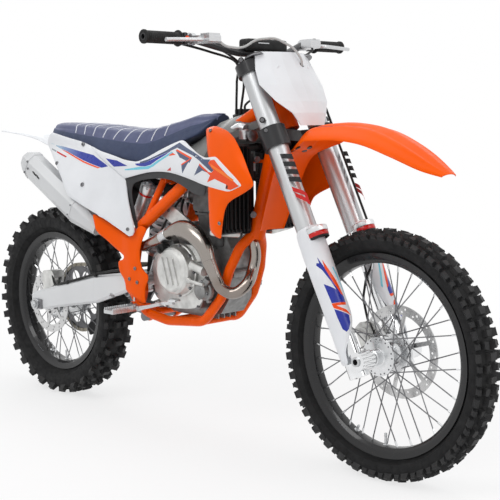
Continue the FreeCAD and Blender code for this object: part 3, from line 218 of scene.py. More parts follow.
def smooth_metal(name, colour, roughness, metallic=0.7):
    """Anodised or blasted alloy, nearly even in colour."""
    made = Finish(name, colour, roughness, metallic=metallic)
    made.vary_colour(made.noise(5.0, 2.0), darker(colour, 0.93))
    made.vary_roughness(made.noise(70.0, 3.0), roughness - 0.03, roughness + 0.04)
    made.bump(made.noise(900.0, 2.0), 0.00003, 0.2)
    return made.material


def painted(name, colour, roughness=0.25, coat=0.7, specular=None):
    made = Finish(name, colour, roughness, coat=coat, coat_roughness=0.06)
    made.vary_colour(made.noise(14.0), darker(colour, 0.88))
    made.vary_roughness(made.noise(80.0, 3.0), roughness - 0.05, roughness + 0.08)
    made.bump(made.noise(320.0, 2.0), 0.00005, 0.3)
    if specular is not None:
        made.shader.inputs["Specular IOR Level"].default_value = specular
    return made.material


def rubber(name, colour, roughness, dust):
    made = Finish(name, colour, roughness)
    made.vary_colour(made.noise(22.0, 5.0), dust, 0.45, 0.8)
    made.vary_roughness(made.noise(70.0, 4.0), roughness - 0.12, roughness + 0.12)
    made.bump(made.noise(750.0, 3.0), 0.00012, 0.5)
    return made.material


def make_header_finish():
    made = Finish("heat tinted steel", (0.32, 0.29, 0.265, 1.0), 0.22, metallic=1.0)
    made.vary_colour(made.noise(9.0, 2.0), (0.22, 0.175, 0.15, 1.0), 0.45, 0.75)
    made.vary_colour(made.noise(5.0, 2.0), (0.18, 0.165, 0.17, 1.0), 0.6, 0.8)
    made.vary_roughness(made.noise(8.0, 1.0), 0.18, 0.26)
    return made.material


def make_hose_finish():
    """The brake hose: black by the fork, with a pale clear cover higher up."""
    made = Finish("brake hose", (0.014, 0.014, 0.014, 1.0), 0.45)
    made.vary_colour(made.along("Z"), (0.48, 0.48, 0.47, 1.0), 0.12, 0.17)
    made.bump(made.noise(600.0, 2.0), 0.00005, 0.3)
    return made.material


def make_seat_finish(name, colour, dark, grain):
    made = Finish(name, colour, 0.6)
    made.shader.inputs["Sheen Weight"].default_value = 0.25
    made.shader.inputs["Sheen Roughness"].default_value = 0.5
    made.vary_colour(made.noise(26.0, 4.0), dark)
    made.vary_roughness(made.noise(90.0, 3.0), 0.5, 0.7)
    made.bump(made.cells(grain), 0.0003, 0.55)
    made.bump(made.noise(40.0, 2.0), 0.0004, 0.25)
    return made.material


def make_fade_finish(start, end):
    """The side stripe's film, from pale cyan at its rear end to royal blue further forward, in metres."""
    material = plastic("fading blue film", linear(40, 56, 150), 0.28, 0.3)
    tree = material.node_tree
    place = add_node(tree, "TexCoord", {}).outputs["Object"]
    along = add_node(tree, "SeparateXYZ", {"Vector": place}).outputs["X"]
    spread = add_node(tree, "MapRange", {"From Min": start, "From Max": end, "Value": along})
    colour = add_ramp(tree, spread.outputs["Result"], (0.0, linear(196, 226, 232)),
                      (0.5, linear(126, 146, 190)), (1.0, linear(44, 60, 158)))
    tree.links.new(colour, tree.nodes["Principled BSDF"].inputs["Base Color"])
    return material


def make_core_finish():
    """The radiator core: thin level fins, painted lighter on their raised bands and darker between them as
    painted shade.
    """
    made = Finish("radiator core", (0.05, 0.05, 0.052, 1.0), 0.5, metallic=0.6)
    fins = made.noise(1.0, 2.0, made.stretched((20.0, 20.0, 900.0)))
    # Painted light and shade: the raised fin bands are lighter and the gaps between them darker
    made.vary_colour(fins, (0.16, 0.16, 0.165, 1.0), 0.4, 0.6)
    made.bump(fins, 0.0006, 0.8)
    return made.material


ORANGE = linear(255, 94, 0)
WHITE = linear(236, 238, 241)
orange_plastic = plastic("orange plastic", ORANGE, 0.36, 0.0, 0.12)
# A darker orange that paints the shade inside the front fender's side channels
channel_shade_orange = plastic("painted channel shade orange", linear(196, 40, 6), 0.4, 0.0)
orange_paint = painted("orange paint", ORANGE, 0.3, 0.05, 0.12)
white_plastic = plastic("white plastic", WHITE, 0.34, 0.15)
black_plastic = plastic("black plastic", (0.014, 0.014, 0.015, 1.0), 0.42, 0.0)
liner_plastic = plastic("dark liner plastic", (0.04, 0.04, 0.042, 1.0), 0.45, 0.0)
grey_plastic = plastic("tank plastic", (0.2, 0.205, 0.2, 1.0), 0.38, 0.1)
rib_white = plastic("white rib", linear(232, 234, 242), 0.5, 0.0)
rim_black = painted("black anodised rim", (0.008, 0.008, 0.009, 1.0), 0.3, 0.4)
clamp_black = painted("black anodised", (0.022, 0.022, 0.024, 1.0), 0.38, 0.2)
red_anodised = painted("red anodised", linear(206, 24, 20), 0.28, 0.4)
cast_alloy = cast_metal("cast alloy", (0.3, 0.3, 0.297, 1.0))
head_alloy = cast_metal("dark head alloy", (0.13, 0.13, 0.13, 1.0))
cover_alloy = cast_metal("cover alloy", (0.72, 0.72, 0.7, 1.0), 0.4)
smooth_silver = smooth_metal("smooth silver alloy", (0.66, 0.67, 0.68, 1.0), 0.3, 0.8)
arm_alloy = smooth_metal("swingarm alloy", (0.72, 0.73, 0.74, 1.0), 0.42, 0.5)
fork_alloy = smooth_metal("fork alloy", (0.56, 0.57, 0.58, 1.0), 0.36, 0.8)
silencer_alloy = smooth_metal("silencer alloy", (0.66, 0.67, 0.68, 1.0), 0.44, 0.5)
alloy = machined_metal("brushed alloy", (0.8, 0.81, 0.82, 1.0), 0.34)
hub_alloy = machined_metal("turned alloy", (0.78, 0.79, 0.8, 1.0), 0.28)
chrome = machined_metal("polished fork tube", (0.88, 0.89, 0.9, 1.0), 0.12, (9.0, 9.0, 9.0))
steel = machined_metal("steel", (0.62, 0.63, 0.64, 1.0), 0.32)
dark_steel = machined_metal("dark steel", (0.24, 0.24, 0.25, 1.0), 0.42)
disc_steel = machined_metal("disc steel", (0.66, 0.66, 0.66, 1.0), 0.3)
chain_steel = machined_metal("chain steel", (0.42, 0.39, 0.33, 1.0), 0.4)
tyre_rubber = rubber("tyre rubber", (0.007, 0.007, 0.0075, 1.0), 0.68, (0.016, 0.016, 0.016, 1.0))
# The lugs' lighter black than the casing's is a painted highlight on the knobs; their lower roughness is real
lit_lug_rubber = rubber("tread lug rubber with painted highlight", (0.022, 0.022, 0.023, 1.0), 0.52, (0.036, 0.035, 0.034, 1.0))
soft_rubber = rubber("black rubber", (0.012, 0.012, 0.012, 1.0), 0.55, (0.022, 0.022, 0.022, 1.0))
header_steel = make_header_finish()
brake_hose = make_hose_finish()
seat_cover = make_seat_finish("seat cover", linear(58, 70, 100), linear(50, 61, 90), 520.0)
# The gripper top's paler blue is partly its cover's own second colour and partly painted light falling on the
# top
seat_grip_lit = make_seat_finish("seat gripper cover with painted light", linear(92, 98, 130), linear(80, 86, 118), 300.0)
core_alloy = make_core_finish()
films = {"black": plastic("black film", (0.014, 0.014, 0.016, 1.0), 0.3, 0.2),
         "white": plastic("white film", WHITE, 0.3, 0.2), "fade": make_fade_finish(-0.39, -0.2)}
for word, colour in (("navy", (70, 84, 116)), ("blue", (38, 52, 158)), ("cyan", (120, 208, 228)),
                     ("red", (206, 30, 26))):
    films[word] = plastic(word + " film", linear(*colour), 0.28, 0.3)
# The lighter orange here is a painted highlight for the shine along the blade's ridge
for word, colour in (("orange", (246, 78, 4)), ("highlight orange", (255, 128, 40)), ("grey", (150, 154, 160))):
    films[word] = plastic(word + " film", linear(*colour), 0.3, 0.2)


# Shapes, each modelled in a bmesh in the frame's metres
def merge(shape, other):
    """Moves everything in the other bmesh into shape."""
    held = bpy.data.meshes.new("held")
    other.to_mesh(held)
    other.free()
    shape.from_mesh(held)
    bpy.data.meshes.remove(held)


def bevelled(shape, offset, edges=None, segments=2):
    """Bevels the edges, or all edges, by an offset in metres."""
    bmesh.ops.bevel(shape, geom=list(shape.edges) if edges is None else edges, offset=offset,
                    segments=segments, profile=0.5, affect="EDGES", material=-1, clamp_overlap=segments > 1)


def round_bar(shape, start, end, radius, sides=12):
    """A round bar between two points."""
    heading = end - start
    place = Matrix.Translation((start + end) / 2) @ heading.to_track_quat("Z", "Y").to_matrix().to_4x4()
    bmesh.ops.create_cone(shape, cap_ends=True, segments=sides, radius1=radius, radius2=radius,
                          depth=heading.length, matrix=place)


def lathe(shape, centre, axis, profile, steps=32, closed=False):
    """A round form turned about an axis, from (distance along it, radius) points in millimetres."""
    axis = axis.normalized()
    out = axis.orthogonal().normalized()
    corners = [shape.verts.new(centre + (axis * a + out * r) / 1000) for a, r in profile]
    edges = [shape.edges.new(pair) for pair in zip(corners, corners[1:])]
    if closed:
        edges.append(shape.edges.new((corners[-1], corners[0])))
    bmesh.ops.spin(shape, geom=corners + edges, cent=centre, axis=axis, angle=2 * math.pi, steps=steps,
                   use_merge=True)


def slab(shape, outline, y0, y1, edge=1.5):
    """A flat plate from the (x, z) points of its outline, with its edges bevelled, in millimetres."""
    held = bmesh.new()
    face = held.faces.new([held.verts.new(at(x, y0, z)) for x, z in outline])
    grown = bmesh.ops.extrude_face_region(held, geom=[face])
    moved = [v for v in grown["geom"] if isinstance(v, bmesh.types.BMVert)]
    bmesh.ops.translate(held, verts=moved, vec=Vector((0, (y1 - y0) / 1000, 0)))
    if edge:
        bevelled(held, edge / 1000)
    merge(shape, held)


def turned(axis, angle):
    return Matrix.Rotation(angle, 4, axis)


def cuboid(shape, middle, size, turn=None, edge=1.5):
    """A block with rounded edges: middle is a point in the frame, size and edge are in millimetres."""
    held = bmesh.new()
    scale = Matrix.Diagonal((size[0] / 1000, size[1] / 1000, size[2] / 1000, 1.0))
    place = Matrix.Translation(middle) @ (turn or Matrix()) @ scale
    bmesh.ops.create_cube(held, size=1.0, matrix=place)
    bevelled(held, edge / 1000)
    merge(shape, held)


def everything(shape):
    return list(shape.verts) + list(shape.edges) + list(shape.faces)


def ring_of(shape, centre, count, axis=LEFT):
    """Repeats everything in shape round an axis, count times in all."""
    bmesh.ops.spin(shape, geom=everything(shape), cent=centre, axis=axis,
                   angle=2 * math.pi * (count - 1) / count, steps=count - 1, use_duplicate=True)


def smooth_path(points, step):
    """Points along a smooth curve through the given ones, about a step apart, in metres."""
    rows = [tuple(p) for p in points]
    length = sum((b - a).length for a, b in zip(points, points[1:]))
    count = max((len(points) - 1) * 3, int(length / step))
    return [Vector(smooth_row(rows, k / count)) for k in range(count + 1)]


def pipe(shape, points, radius, sides=10, step=0.008, radii=None):
    """A round tube swept along a smooth curve through the points."""
    held = bmesh.new()
    path = smooth_path(points, step)
    across = None
    last = None
    for k, p in enumerate(path):
        heading = (path[min(k + 1, len(path) - 1)] - path[max(k - 1, 0)]).normalized()
        if across is None:
            across = heading.orthogonal()
        across = (across - heading * across.dot(heading)).normalized()
        turn = Matrix((across, heading.cross(across), heading)).transposed().to_4x4()
        size = radius if radii is None else table_value(k / (len(path) - 1), radii)
        made = bmesh.ops.create_circle(held, segments=sides, radius=size, matrix=Matrix.Translation(p) @ turn)
        edges = list({edge for v in made["verts"] for edge in v.link_edges})
        if last:
            bmesh.ops.bridge_loops(held, edges=last + edges)
        last = edges
    bmesh.ops.holes_fill(held, edges=[e for e in held.edges if e.is_boundary], sides=0)
    merge(shape, held)


def bolt(shape, centre, out, radius, height):
    """A round-headed bolt with a hollow head, standing on centre, sizes in millimetres."""
    lathe(shape, centre, out, [(-1.0, 0.0), (-1.0, radius), (height * 0.7, radius), (height, radius * 0.8),
                               (height, radius * 0.5), (height * 0.4, radius * 0.45), (height * 0.4, 0.0)],
          12)


def nut(shape, centre, out, radius, height):
    """A six-sided nut on its washer, with the end of its thread."""
    out = out.normalized()
    lathe(shape, centre, out, [(-1.0, 0.0), (-1.0, radius * 1.2), (1.2, radius * 1.2), (1.6, radius)], 20)
    lathe(shape, centre, out, [(1.0, 0.0), (1.0, radius), (height - 1, radius), (height, radius * 0.88),
                               (height, 0.0)], 6)
    lathe(shape, centre, out, [(height - 1, 0.0), (height - 1, radius * 0.5), (height + 2.5, radius * 0.5),
                               (height + 3, radius * 0.42), (height + 3, 0.0)], 12)


def hose(shape, radius, *points):
    """A thin hose through points given in millimetres, its radius in metres."""
    pipe(shape, [at(*p) for p in points], radius, 8)


def mirrored(half, middle=()):
    """A profile made of its left half, the points on its middle, and the mirror of that half."""
    return half + list(middle) + [(-y, r) for y, r in reversed(half)]


def coil(shape, start, end, radius, wire, turns):
    """A small coil spring between two points, sizes in metres."""
    heading = (end - start).normalized()
    across = heading.orthogonal().normalized()
    other = heading.cross(across)
    points = []
    for k in range(int(turns * 10) + 1):
        a = 2 * math.pi * k / 10
        share = k / (turns * 10)
        points.append(start.lerp(end, share) + (across * math.cos(a) + other * math.sin(a)) * radius)
    pipe(shape, points, wire, 6, 0.004)


def place_object(name, data):
    obj = bpy.data.objects.new(name, data)
    bpy.context.scene.collection.objects.link(obj)
    return obj


def place_mesh(name, shape, materials):
    """Turns a bmesh into a smooth-shaded object of the scene."""
    mesh = bpy.data.meshes.new(name)
    for material in materials:
        mesh.materials.append(material)
    shape.to_mesh(mesh)
    shape.free()
    mesh.polygons.foreach_set("use_smooth", [True] * len(mesh.polygons))
    return place_object(name, mesh)


class Piece:
    """One object in the making: a bmesh whose shapes may have different materials."""

    def __init__(self, *materials):
        self.whole = bmesh.new()
        self.materials = list(materials)

    def keep(self, shape, material=None):
        """Adds a modelled shape, closed, with its faces outward, and all in the material if one is given."""
        bmesh.ops.remove_doubles(shape, verts=shape.verts, dist=0.000002)
        bmesh.ops.recalc_face_normals(shape, faces=shape.faces)
        if material is not None:
            if material not in self.materials:
                self.materials.append(material)
            for face in shape.faces:
                face.material_index = self.materials.index(material)
        merge(self.whole, shape)

    def make(self, name, body, sharp_deg=32.0, replaced=()):
        obj = place_mesh(name, self.whole, self.materials)
        obj.data.set_sharp_from_angle(angle=math.radians(sharp_deg))
        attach(obj, body)
        if replaced:
            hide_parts(*replaced)
        return obj


# Sheets: a flat outline bent onto a surface and given its thickness
def soften(outline, rounds=2, share=0.18):
    """Rounds an outline's corners a little by cutting them off in turn."""
    for _ in range(rounds):
        cut = []
        for k, a in enumerate(outline):
            b = outline[(k + 1) % len(outline)]
            cut.append((mix(a[0], b[0], share), mix(a[1], b[1], share)))
            cut.append((mix(a[0], b[0], 1 - share), mix(a[1], b[1], 1 - share)))
        outline = cut
    return outline


def rim_distance(a, b, outline):
    """How far a flat point lies from the nearest side of the outline."""
    nearest = 1e9
    for k, (a0, b0) in enumerate(outline):
        a1, b1 = outline[(k + 1) % len(outline)]
        run = (a1 - a0, b1 - b0)
        size = run[0] ** 2 + run[1] ** 2
        if size > 0:
            t = min(max(((a - a0) * run[0] + (b - b0) * run[1]) / size, 0.0), 1.0)
            nearest = min(nearest, math.hypot(a - a0 - t * run[0], b - b0 - t * run[1]))
    return nearest


def rolled(surface, outline, width=8.0, depth=3.0):
    """The same surface, curling inward near the outline."""
    rim = soften(outline)

    def bent(a, b, offset):
        near = min(rim_distance(a, b, rim) / width, 1.0)
        return surface(a, b, offset - depth * (1 - near) ** 2)
    return bent


def flat_cut(outline, spacing):
    """A flat face with that outline, cut by a grid of that spacing so that it can bend."""
    shape = bmesh.new()
    shape.faces.new([shape.verts.new((a, b, 0)) for a, b in outline])
    for axis in (0, 1):
        low = min(p[axis] for p in outline)
        high = max(p[axis] for p in outline)
        normal = [0.0, 0.0, 0.0]
        normal[axis] = 1.0
        for k in range(1, int((high - low) / spacing) + 1):
            place = [0.0, 0.0, 0.0]
            place[axis] = low + k * spacing + 0.01
            bmesh.ops.bisect_plane(shape, geom=everything(shape), plane_co=place, plane_no=normal)
    return shape


def shell(shape, surface, thickness, offset=0.0, side=1, soft=0.5):
    """Bends a flat sheet onto a surface and gives it its thickness inward, in millimetres."""
    flat = list(shape.verts)
    rim = {v for v in flat if v.is_boundary}
    grown = bmesh.ops.extrude_face_region(shape, geom=list(shape.faces))
    inner = [v for v in grown["geom"] if isinstance(v, bmesh.types.BMVert)]
    for v in flat:
        x, y, z = surface(v.co.x, v.co.y, offset - (soft if v in rim else 0.0))
        v.co = at(x, y * side, z)
    for v in inner:
        x, y, z = surface(v.co.x, v.co.y, offset - thickness)
        v.co = at(x, y * side, z)


def panel(prefix, outline, surface, material, thickness=3.0, offset=0.0, spacing=8.0, replaced={}):
    """The same sheet on both sides of the bike, as a left and a right piece, with what each one replaces."""
    for side, word in ((1, "left"), (-1, "right")):
        piece = Piece(material)
        shape = flat_cut(soften(outline), spacing)
        shell(shape, surface, thickness, offset, side)
        piece.keep(shape)
        piece.make(prefix + word, "chassis", 40.0, replaced.get(word, ()))


def stickers(name, surface, shapes, body, base=0.3):
    """Thin films on both sides: shapes holds (film, level, outline), and a higher level lies on top."""
    piece = Piece()
    for film, level, outline in shapes:
        for side in (1, -1):
            shape = flat_cut(outline, 8.0)
            shell(shape, surface, 0.5, base + 0.15 * level, side, 0.05)
            piece.keep(shape, films[film])
    piece.make(name, body, 40.0)


# Tyres
def tread_radius(y, half_width, carcass_r):
    """The casing's crowned radius, y from its middle."""
    return carcass_r - 8.0 * min(abs(y) / (half_width * 0.84), 1.3) ** 2.2


def knob(shape, centre, angle, y, size, height, tilt, lift, skew=0.0):
    """A tyre lug: size is (across, along) in millimetres, tilt leans it outward, in degrees."""
    radial = Vector((math.sin(angle), 0, math.cos(angle)))
    along = Vector((math.cos(angle), 0, -math.sin(angle)))
    lean = math.radians(tilt) * (1 if y > 0 else -1)
    out = radial * math.cos(lean) + LEFT * math.sin(lean)
    across = LEFT * math.cos(lean) - radial * math.sin(lean)
    base = centre + (radial * lift + Vector((0, y, 0))) / 1000
    corners = bmesh.ops.create_cube(shape, size=2.0)["verts"]
    top = []
    for v in corners:
        s, t, high = v.co
        grow = -1.8 if high > 0 else 1.6
        a = (size[0] / 2 + grow) * s
        b = (size[1] / 2 + grow) * t + skew * s
        if high > 0:
            top.append(v)
        v.co = base + (out * height * (1.0 if high > 0 else -0.35) + across * a + along * b) / 1000
    rim = [e for e in shape.edges if e.verts[0] in top and e.verts[1] in top]
    bevelled(shape, 0.0012, rim, 1)


def tyre(name, node, centre, half_width, seat_r, seat_half, tread_r, lug, rows, pattern, body):
    carcass_r = tread_r - lug
    height = carcass_r - seat_r
    half = [(seat_half - 6, seat_r + 0.6), (seat_half, seat_r + 0.6), (seat_half + 0.5, seat_r + 9),
            (seat_half + 3, seat_r + 13), (seat_half + 5.5, seat_r + 14),
            (half_width * 0.8, seat_r + height * 0.33), (half_width * 0.82, seat_r + height * 0.34),
            (half_width * 0.84, seat_r + height * 0.345), (half_width * 0.91, seat_r + height * 0.5),
            (half_width * 0.93, seat_r + height * 0.62), (half_width * 0.91, seat_r + height * 0.74)]
    for share in (0.8, 0.66, 0.5, 0.34, 0.17):
        y = half_width * share
        half.append((y, tread_radius(y, half_width, carcass_r)))
    piece = Piece()
    casing = bmesh.new()
    lathe(casing, centre, LEFT, mirrored(half, [(0.0, carcass_r)]), 144, True)
    piece.keep(casing, tyre_rubber)
    for k, row in enumerate(pattern):
        shape = bmesh.new()
        for y, across, along, tall, tilt, skew in row:
            for side in ((1, -1) if y else (1,)):
                lift = tread_radius(y, half_width, carcass_r) - (0.5 if tilt < 30 else 1.0)
                knob(shape, centre, math.pi * (k + 0.5) / rows, y * side, (across, along), tall, tilt, lift,
                     skew=skew * side)
        ring_of(shape, centre, rows * 2 // len(pattern))
        # The lugs take the lighter rubber, a painted highlight on the knobs
        piece.keep(shape, lit_lug_rubber)
    ribs = bmesh.new()
    for side in (1, -1):
        low = centre + Vector((0, side * half_width * 0.865, seat_r + height * 0.4)) / 1000
        high = centre + Vector((0, side * half_width * 0.935, seat_r + height * 0.66)) / 1000
        round_bar(ribs, low, high, 0.0011, 4)
    ring_of(ribs, centre, rows)
    piece.keep(ribs, tyre_rubber)
    piece.make(name, body, 28.0, (node,))


front_axle = at(HALF_BASE, 0, FRONT_TYRE_R)
rear_axle = at(-HALF_BASE, 0, REAR_TYRE_R)
# Each half row holds its lugs as (y, across, along, height, tilt, skew)
front_pattern = [
    [(0, 27, 21, 13, 0, 0), (37, 13, 23, 12.5, 48, 0)],
    [(18.5, 14, 19, 12.5, 14, 1.5), (35.5, 11, 15, 11, 40, 0)],
    [(0, 24, 17, 12, 0, 0), (37, 13, 23, 12.5, 48, 0)],
    [(17.5, 15, 21, 13, 14, -1.5), (35.5, 11, 15, 11, 40, 0)],
]
rear_pattern = [
    [(13, 19, 21, 16, 4, 0), (49, 15, 25, 15, 46, 0)],
    [(32, 16, 22, 15.5, 16, 2)],
    [(0, 30, 20, 15.5, 0, 0), (49, 15, 25, 15, 46, 0)],
    [(31, 17, 22, 15.5, 16, -2)],
]
tyre("front_knobby_tyre", "front_tyre", front_axle, 44, FRONT_SEAT_R, 20.5, FRONT_TYRE_R, 13, 36,
     front_pattern, "front_wheel")
tyre("rear_knobby_tyre", "rear_tyre", rear_axle, 58, REAR_SEAT_R, 28, REAR_TYRE_R, 16, 30, rear_pattern,
     "rear_wheel")


# Rims, hubs and spokes
def round_place(angle, radius, y):
    """A place beside an axle in metres, from a radius and y in millimetres."""
    return Vector((radius * math.sin(angle), y, radius * math.cos(angle))) / 1000


def laced_wheel(prefix, centre, seat_r, rim_half, flange_r, flange_y, hub_r, ends, seats, body):
    inner_r = seat_r - RIM_DEPTH
    half = [(rim_half * 0.3, inner_r), (rim_half * 0.55, inner_r + 1.5), (rim_half - 5, seat_r - 12),
            (rim_half - 2.5, seat_r - 7), (rim_half - 2, seat_r + 2), (rim_half - 0.5, seat_r + 8),
            (rim_half - 1.5, seat_r + 9), (rim_half - 4, seat_r + 8.5), (rim_half - 4.5, seat_r + 2),
            (rim_half - 6, seat_r - 0.5), (rim_half * 0.4, seat_r - 4), (rim_half * 0.25, seat_r - 8)]
    rim = Piece()
    shape = bmesh.new()
    lathe(shape, centre, LEFT, mirrored(half), 144, True)
    rim.keep(shape, rim_black)
    # The rim's two lines of small bars, where its maker's sticker would be
    shape = bmesh.new()
    for turn in (0.0, math.pi):
        for k in range(5):
            a = turn + 0.5 + 0.035 * k
            for side in (1, -1):
                middle = centre + round_place(a, inner_r + 8, side * (rim_half - 6))
                cuboid(shape, middle, (5.0, 0.8, 4.5), turned("Y", a) @ turned("X", side * 0.62), 0.2)
    rim.keep(shape, films["grey"])
    rim.make(prefix + "_wheel_rim", body, 24.0, (prefix + "_rim",))

    hub = Piece()
    right, left = ends
    flange = [(9, hub_r), (7, hub_r + 4), (6, flange_r - 2), (5, flange_r), (1, flange_r), (0, flange_r - 2),
              (-2, hub_r + 9), (-9, hub_r + 3)]
    flange = [(-flange_y - y, r) for y, r in flange]
    outline = [(right, 14), (right, hub_r - 3), (right + 2, hub_r)] + mirrored(flange, [(0, hub_r + 1.5)])
    outline += [(left - 2, hub_r), (left, hub_r - 3), (left, 14)]
    shape = bmesh.new()
    lathe(shape, centre, LEFT, outline, 72, True)
    for y0, y1, r in seats:
        lathe(shape, centre, LEFT, [(y0, hub_r - 1), (y0, r - 1.5), (y0 + 1.5, r), (y1 - 0.5, r),
                                    (y1, r - 0.5), (y1, hub_r - 1)], 72, True)
    hub.keep(shape, hub_alloy)
    lead = math.radians(62)
    spokes = bmesh.new()
    nipples = bmesh.new()
    for k in range(4):
        side = 1 if k % 2 == 0 else -1
        turn = lead if (k // 2) % 2 == 0 else -lead
        angle = 2 * math.pi * k / 36
        lean = 1.2 if turn > 0 else 4.8
        a = angle + turn
        hole_r = flange_r - 6
        start = centre + round_place(a, hole_r, side * (flange_y + lean))
        end = centre + round_place(angle, inner_r, side * 4)
        heading = (end - start).normalized()
        round_bar(spokes, start, end - heading * 0.012, 0.00175, 8)
        round_bar(spokes, start - Vector((0, side * lean / 1000, 0)),
                  start + Vector((0, side * (6.4 - lean) / 1000, 0)), 0.0026, 8)
        round_bar(nipples, end - heading * 0.017, end, 0.0029, 6)
    for shape, material in ((spokes, dark_steel), (nipples, hub_alloy)):
        ring_of(shape, centre, 9)
        hub.keep(shape, material)
    hub.make(prefix + "_laced_hub", body, 26.0, (prefix + "_hub_spokes",))


laced_wheel("front", front_axle, FRONT_SEAT_R, 26.5, 53.5, 29, 22, (-62, 62), [(48.2, 56.2, 48)],
            "front_wheel")
laced_wheel("rear", rear_axle, REAR_SEAT_R, 34, 62, 36, 26, (-72, 78), [(-61.7, -53.7, 50), (60.2, 72.2, 62)],
            "rear_wheel")


def wheel_fittings(prefix, centre, seat_r, bolts, body):
    """The valve, the rim lock and the bolts of the disc and the sprocket, as (y, side, radius, size)."""
    piece = Piece()
    shape = bmesh.new()
    inner = centre + Vector((0, 0, -(seat_r - RIM_DEPTH))) / 1000
    lathe(shape, inner, UP, [(-2.0, 0.0), (-2.0, 6.5), (1.5, 6.5), (2.5, 3.6), (24.0, 3.4), (25.0, 4.3),
                                            (34.0, 4.0), (35.0, 0.0)], 16)
    turn = Matrix.Translation(centre) @ turned("Y", math.radians(24)) @ Matrix.Translation(-centre)
    lathe(shape, turn @ inner, turn.to_3x3() @ UP,
          [(-2.0, 0.0), (-2.0, 9.0), (3.0, 9.0), (3.5, 4.0), (18.0, 4.0), (18.5, 0.0)], 6)
    piece.keep(shape, steel)
    for face_y, out, radius, size in bolts:
        shape = bmesh.new()
        bolt(shape, centre + Vector((0, face_y, radius)) / 1000, LEFT * out, size, 3.6)
        ring_of(shape, centre, 6)
        piece.keep(shape, dark_steel)
    piece.make(prefix + "_wheel_fittings", body, 30.0)


wheel_fittings("front", front_axle, FRONT_SEAT_R, [(59.5, 1, 36.0, 5.0)], "front_wheel")
wheel_fittings("rear", rear_axle, REAR_SEAT_R, [(-66.0, -1, 38.0, 5.0), (77.5, 1, 51.0, 6.0)], "rear_wheel")


# Places up the fork legs and the steering axis, in millimetres
rake = math.radians(26.1)
leg_up = Vector((-math.sin(rake), 0, math.cos(rake)))
leg_fore = Vector((math.cos(rake), 0, math.sin(rake)))


def leg(s, n, y):
    """A point s up the fork legs from the axle, n ahead of a line AXLE_LEAD behind it, as (x, y, z)."""
    move = leg_up * s + leg_fore * (n - AXLE_LEAD)
    return HALF_BASE + move.x, y, FRONT_TYRE_R + move.z


def leg_at(s, n, y):
    return at(*leg(s, n, y))


# Bodywork surfaces: how far out each panel's surface lies at (x, z)
def shroud_surface(x, z, offset):
    wide = table_value(x, [(-420, 128), (-150, 128), (0, 143), (130, 166), (215, 183), (288, 190), (340, 193),
                           (430, 195)])
    if z > 840:
        wide -= 44 * ((z - 840) / 120) ** 1.5
    if z < 730:
        wide -= 6 * ((730 - z) / 90) ** 2
    return x, wide + offset, z


def side_surface(x, z, offset):
    lean = table_value(x, [(-620, 0.55), (-560, 0.55), (-456, 0.43), (-313, 0.28), (-200, 0.14),
                           (-120, 0.08)])
    top = 900 if x < -380 else mix(900, 880, min((x + 380) / 60, 1))
    return x, 112 + lean * max(0.0, top - z) + offset, z


def guard_surface(s, angle, offset):
    """The fork guard's surface round the left leg: angle runs from its front to its outside, in degrees."""
    radius = table_value(s, [(36, 39), (84, 38), (170, 38), (250, 39), (340, 40), (385, 41)]) + offset
    out = leg_fore * math.cos(math.radians(angle)) * radius
    x, y, z = leg(s, 0, LEG_Y + math.sin(math.radians(angle)) * radius)
    return x + out.x, y, z + out.z


wing_outline = [(167, 956), (185, 962), (210, 965), (237, 960), (276, 951), (317, 931), (345, 909),
                (371, 885), (394, 858), (413, 828), (426, 804), (412, 793), (380, 777), (343, 762),
                (316, 747), (303, 726), (295, 700), (285, 665), (279, 643), (254, 649), (233, 664),
                (232, 711), (228, 790), (235, 860), (205, 905), (185, 932)]
blade_outline = [(-418, 903), (-355, 885), (-287, 873), (-215, 858), (-154, 853), (-97, 870), (-41, 892),
                 (15, 911), (70, 925), (122, 904), (177, 884), (219, 874), (246, 877), (269, 879),
                 (316, 853), (356, 827), (388, 801), (372, 795), (334, 781), (282, 787), (225, 795),
                 (155, 808), (88, 819), (30, 826), (-26, 827), (-80, 824), (-136, 816), (-209, 801),
                 (-218, 801), (-287, 837), (-359, 871)]
side_outline = [(-670, 906), (-608, 865), (-522, 803), (-458, 737), (-398, 716), (-334, 689), (-278, 666),
                (-224, 639), (-183, 617), (-169, 621), (-162, 636), (-182, 688), (-200, 732), (-213, 779),
                (-218, 799), (-287, 835), (-359, 869), (-416, 901), (-471, 915), (-539, 926), (-608, 939),
                (-643, 946)]
guard_outline = [(2, 76), (36, 70), (84, 14), (120, -30), (170, -60), (250, -70), (340, -70), (385, -55),
                 (390, 25), (385, 105), (340, 120), (250, 120), (170, 120), (120, 120), (84, 118), (36, 113),
                 (2, 112)]
wing_skin = rolled(shroud_surface, wing_outline, 24.0, 8.0)
blade_skin = rolled(shroud_surface, blade_outline, 8.0, 2.6)
side_skin = rolled(side_surface, side_outline, 10.0, 3.0)

panel("shroud_wing_", wing_outline, wing_skin, orange_plastic,
      replaced={"left": ("shroud_left",), "right": ("shroud_right",)})
panel("shroud_blade_", blade_outline, blade_skin, white_plastic, 2.6, 3.2)
panel("side_cover_", side_outline, side_skin, white_plastic,
      replaced={"left": ("side_panel_left",), "right": ("side_panel_right",)})


def boot_surface(x, z, offset):
    """The frame guards lie against the frame's pivot plates and lean out behind them."""
    wide = table_value(x, [(-400, 186), (-320, 142), (-300, 135), (-280, 131), (-260, 128), (-240, 126)])
    crease = 3.0 * math.exp(-((x + 196 + (z - 500) * 0.1) / 26) ** 2)
    return x, wide + crease + offset, z


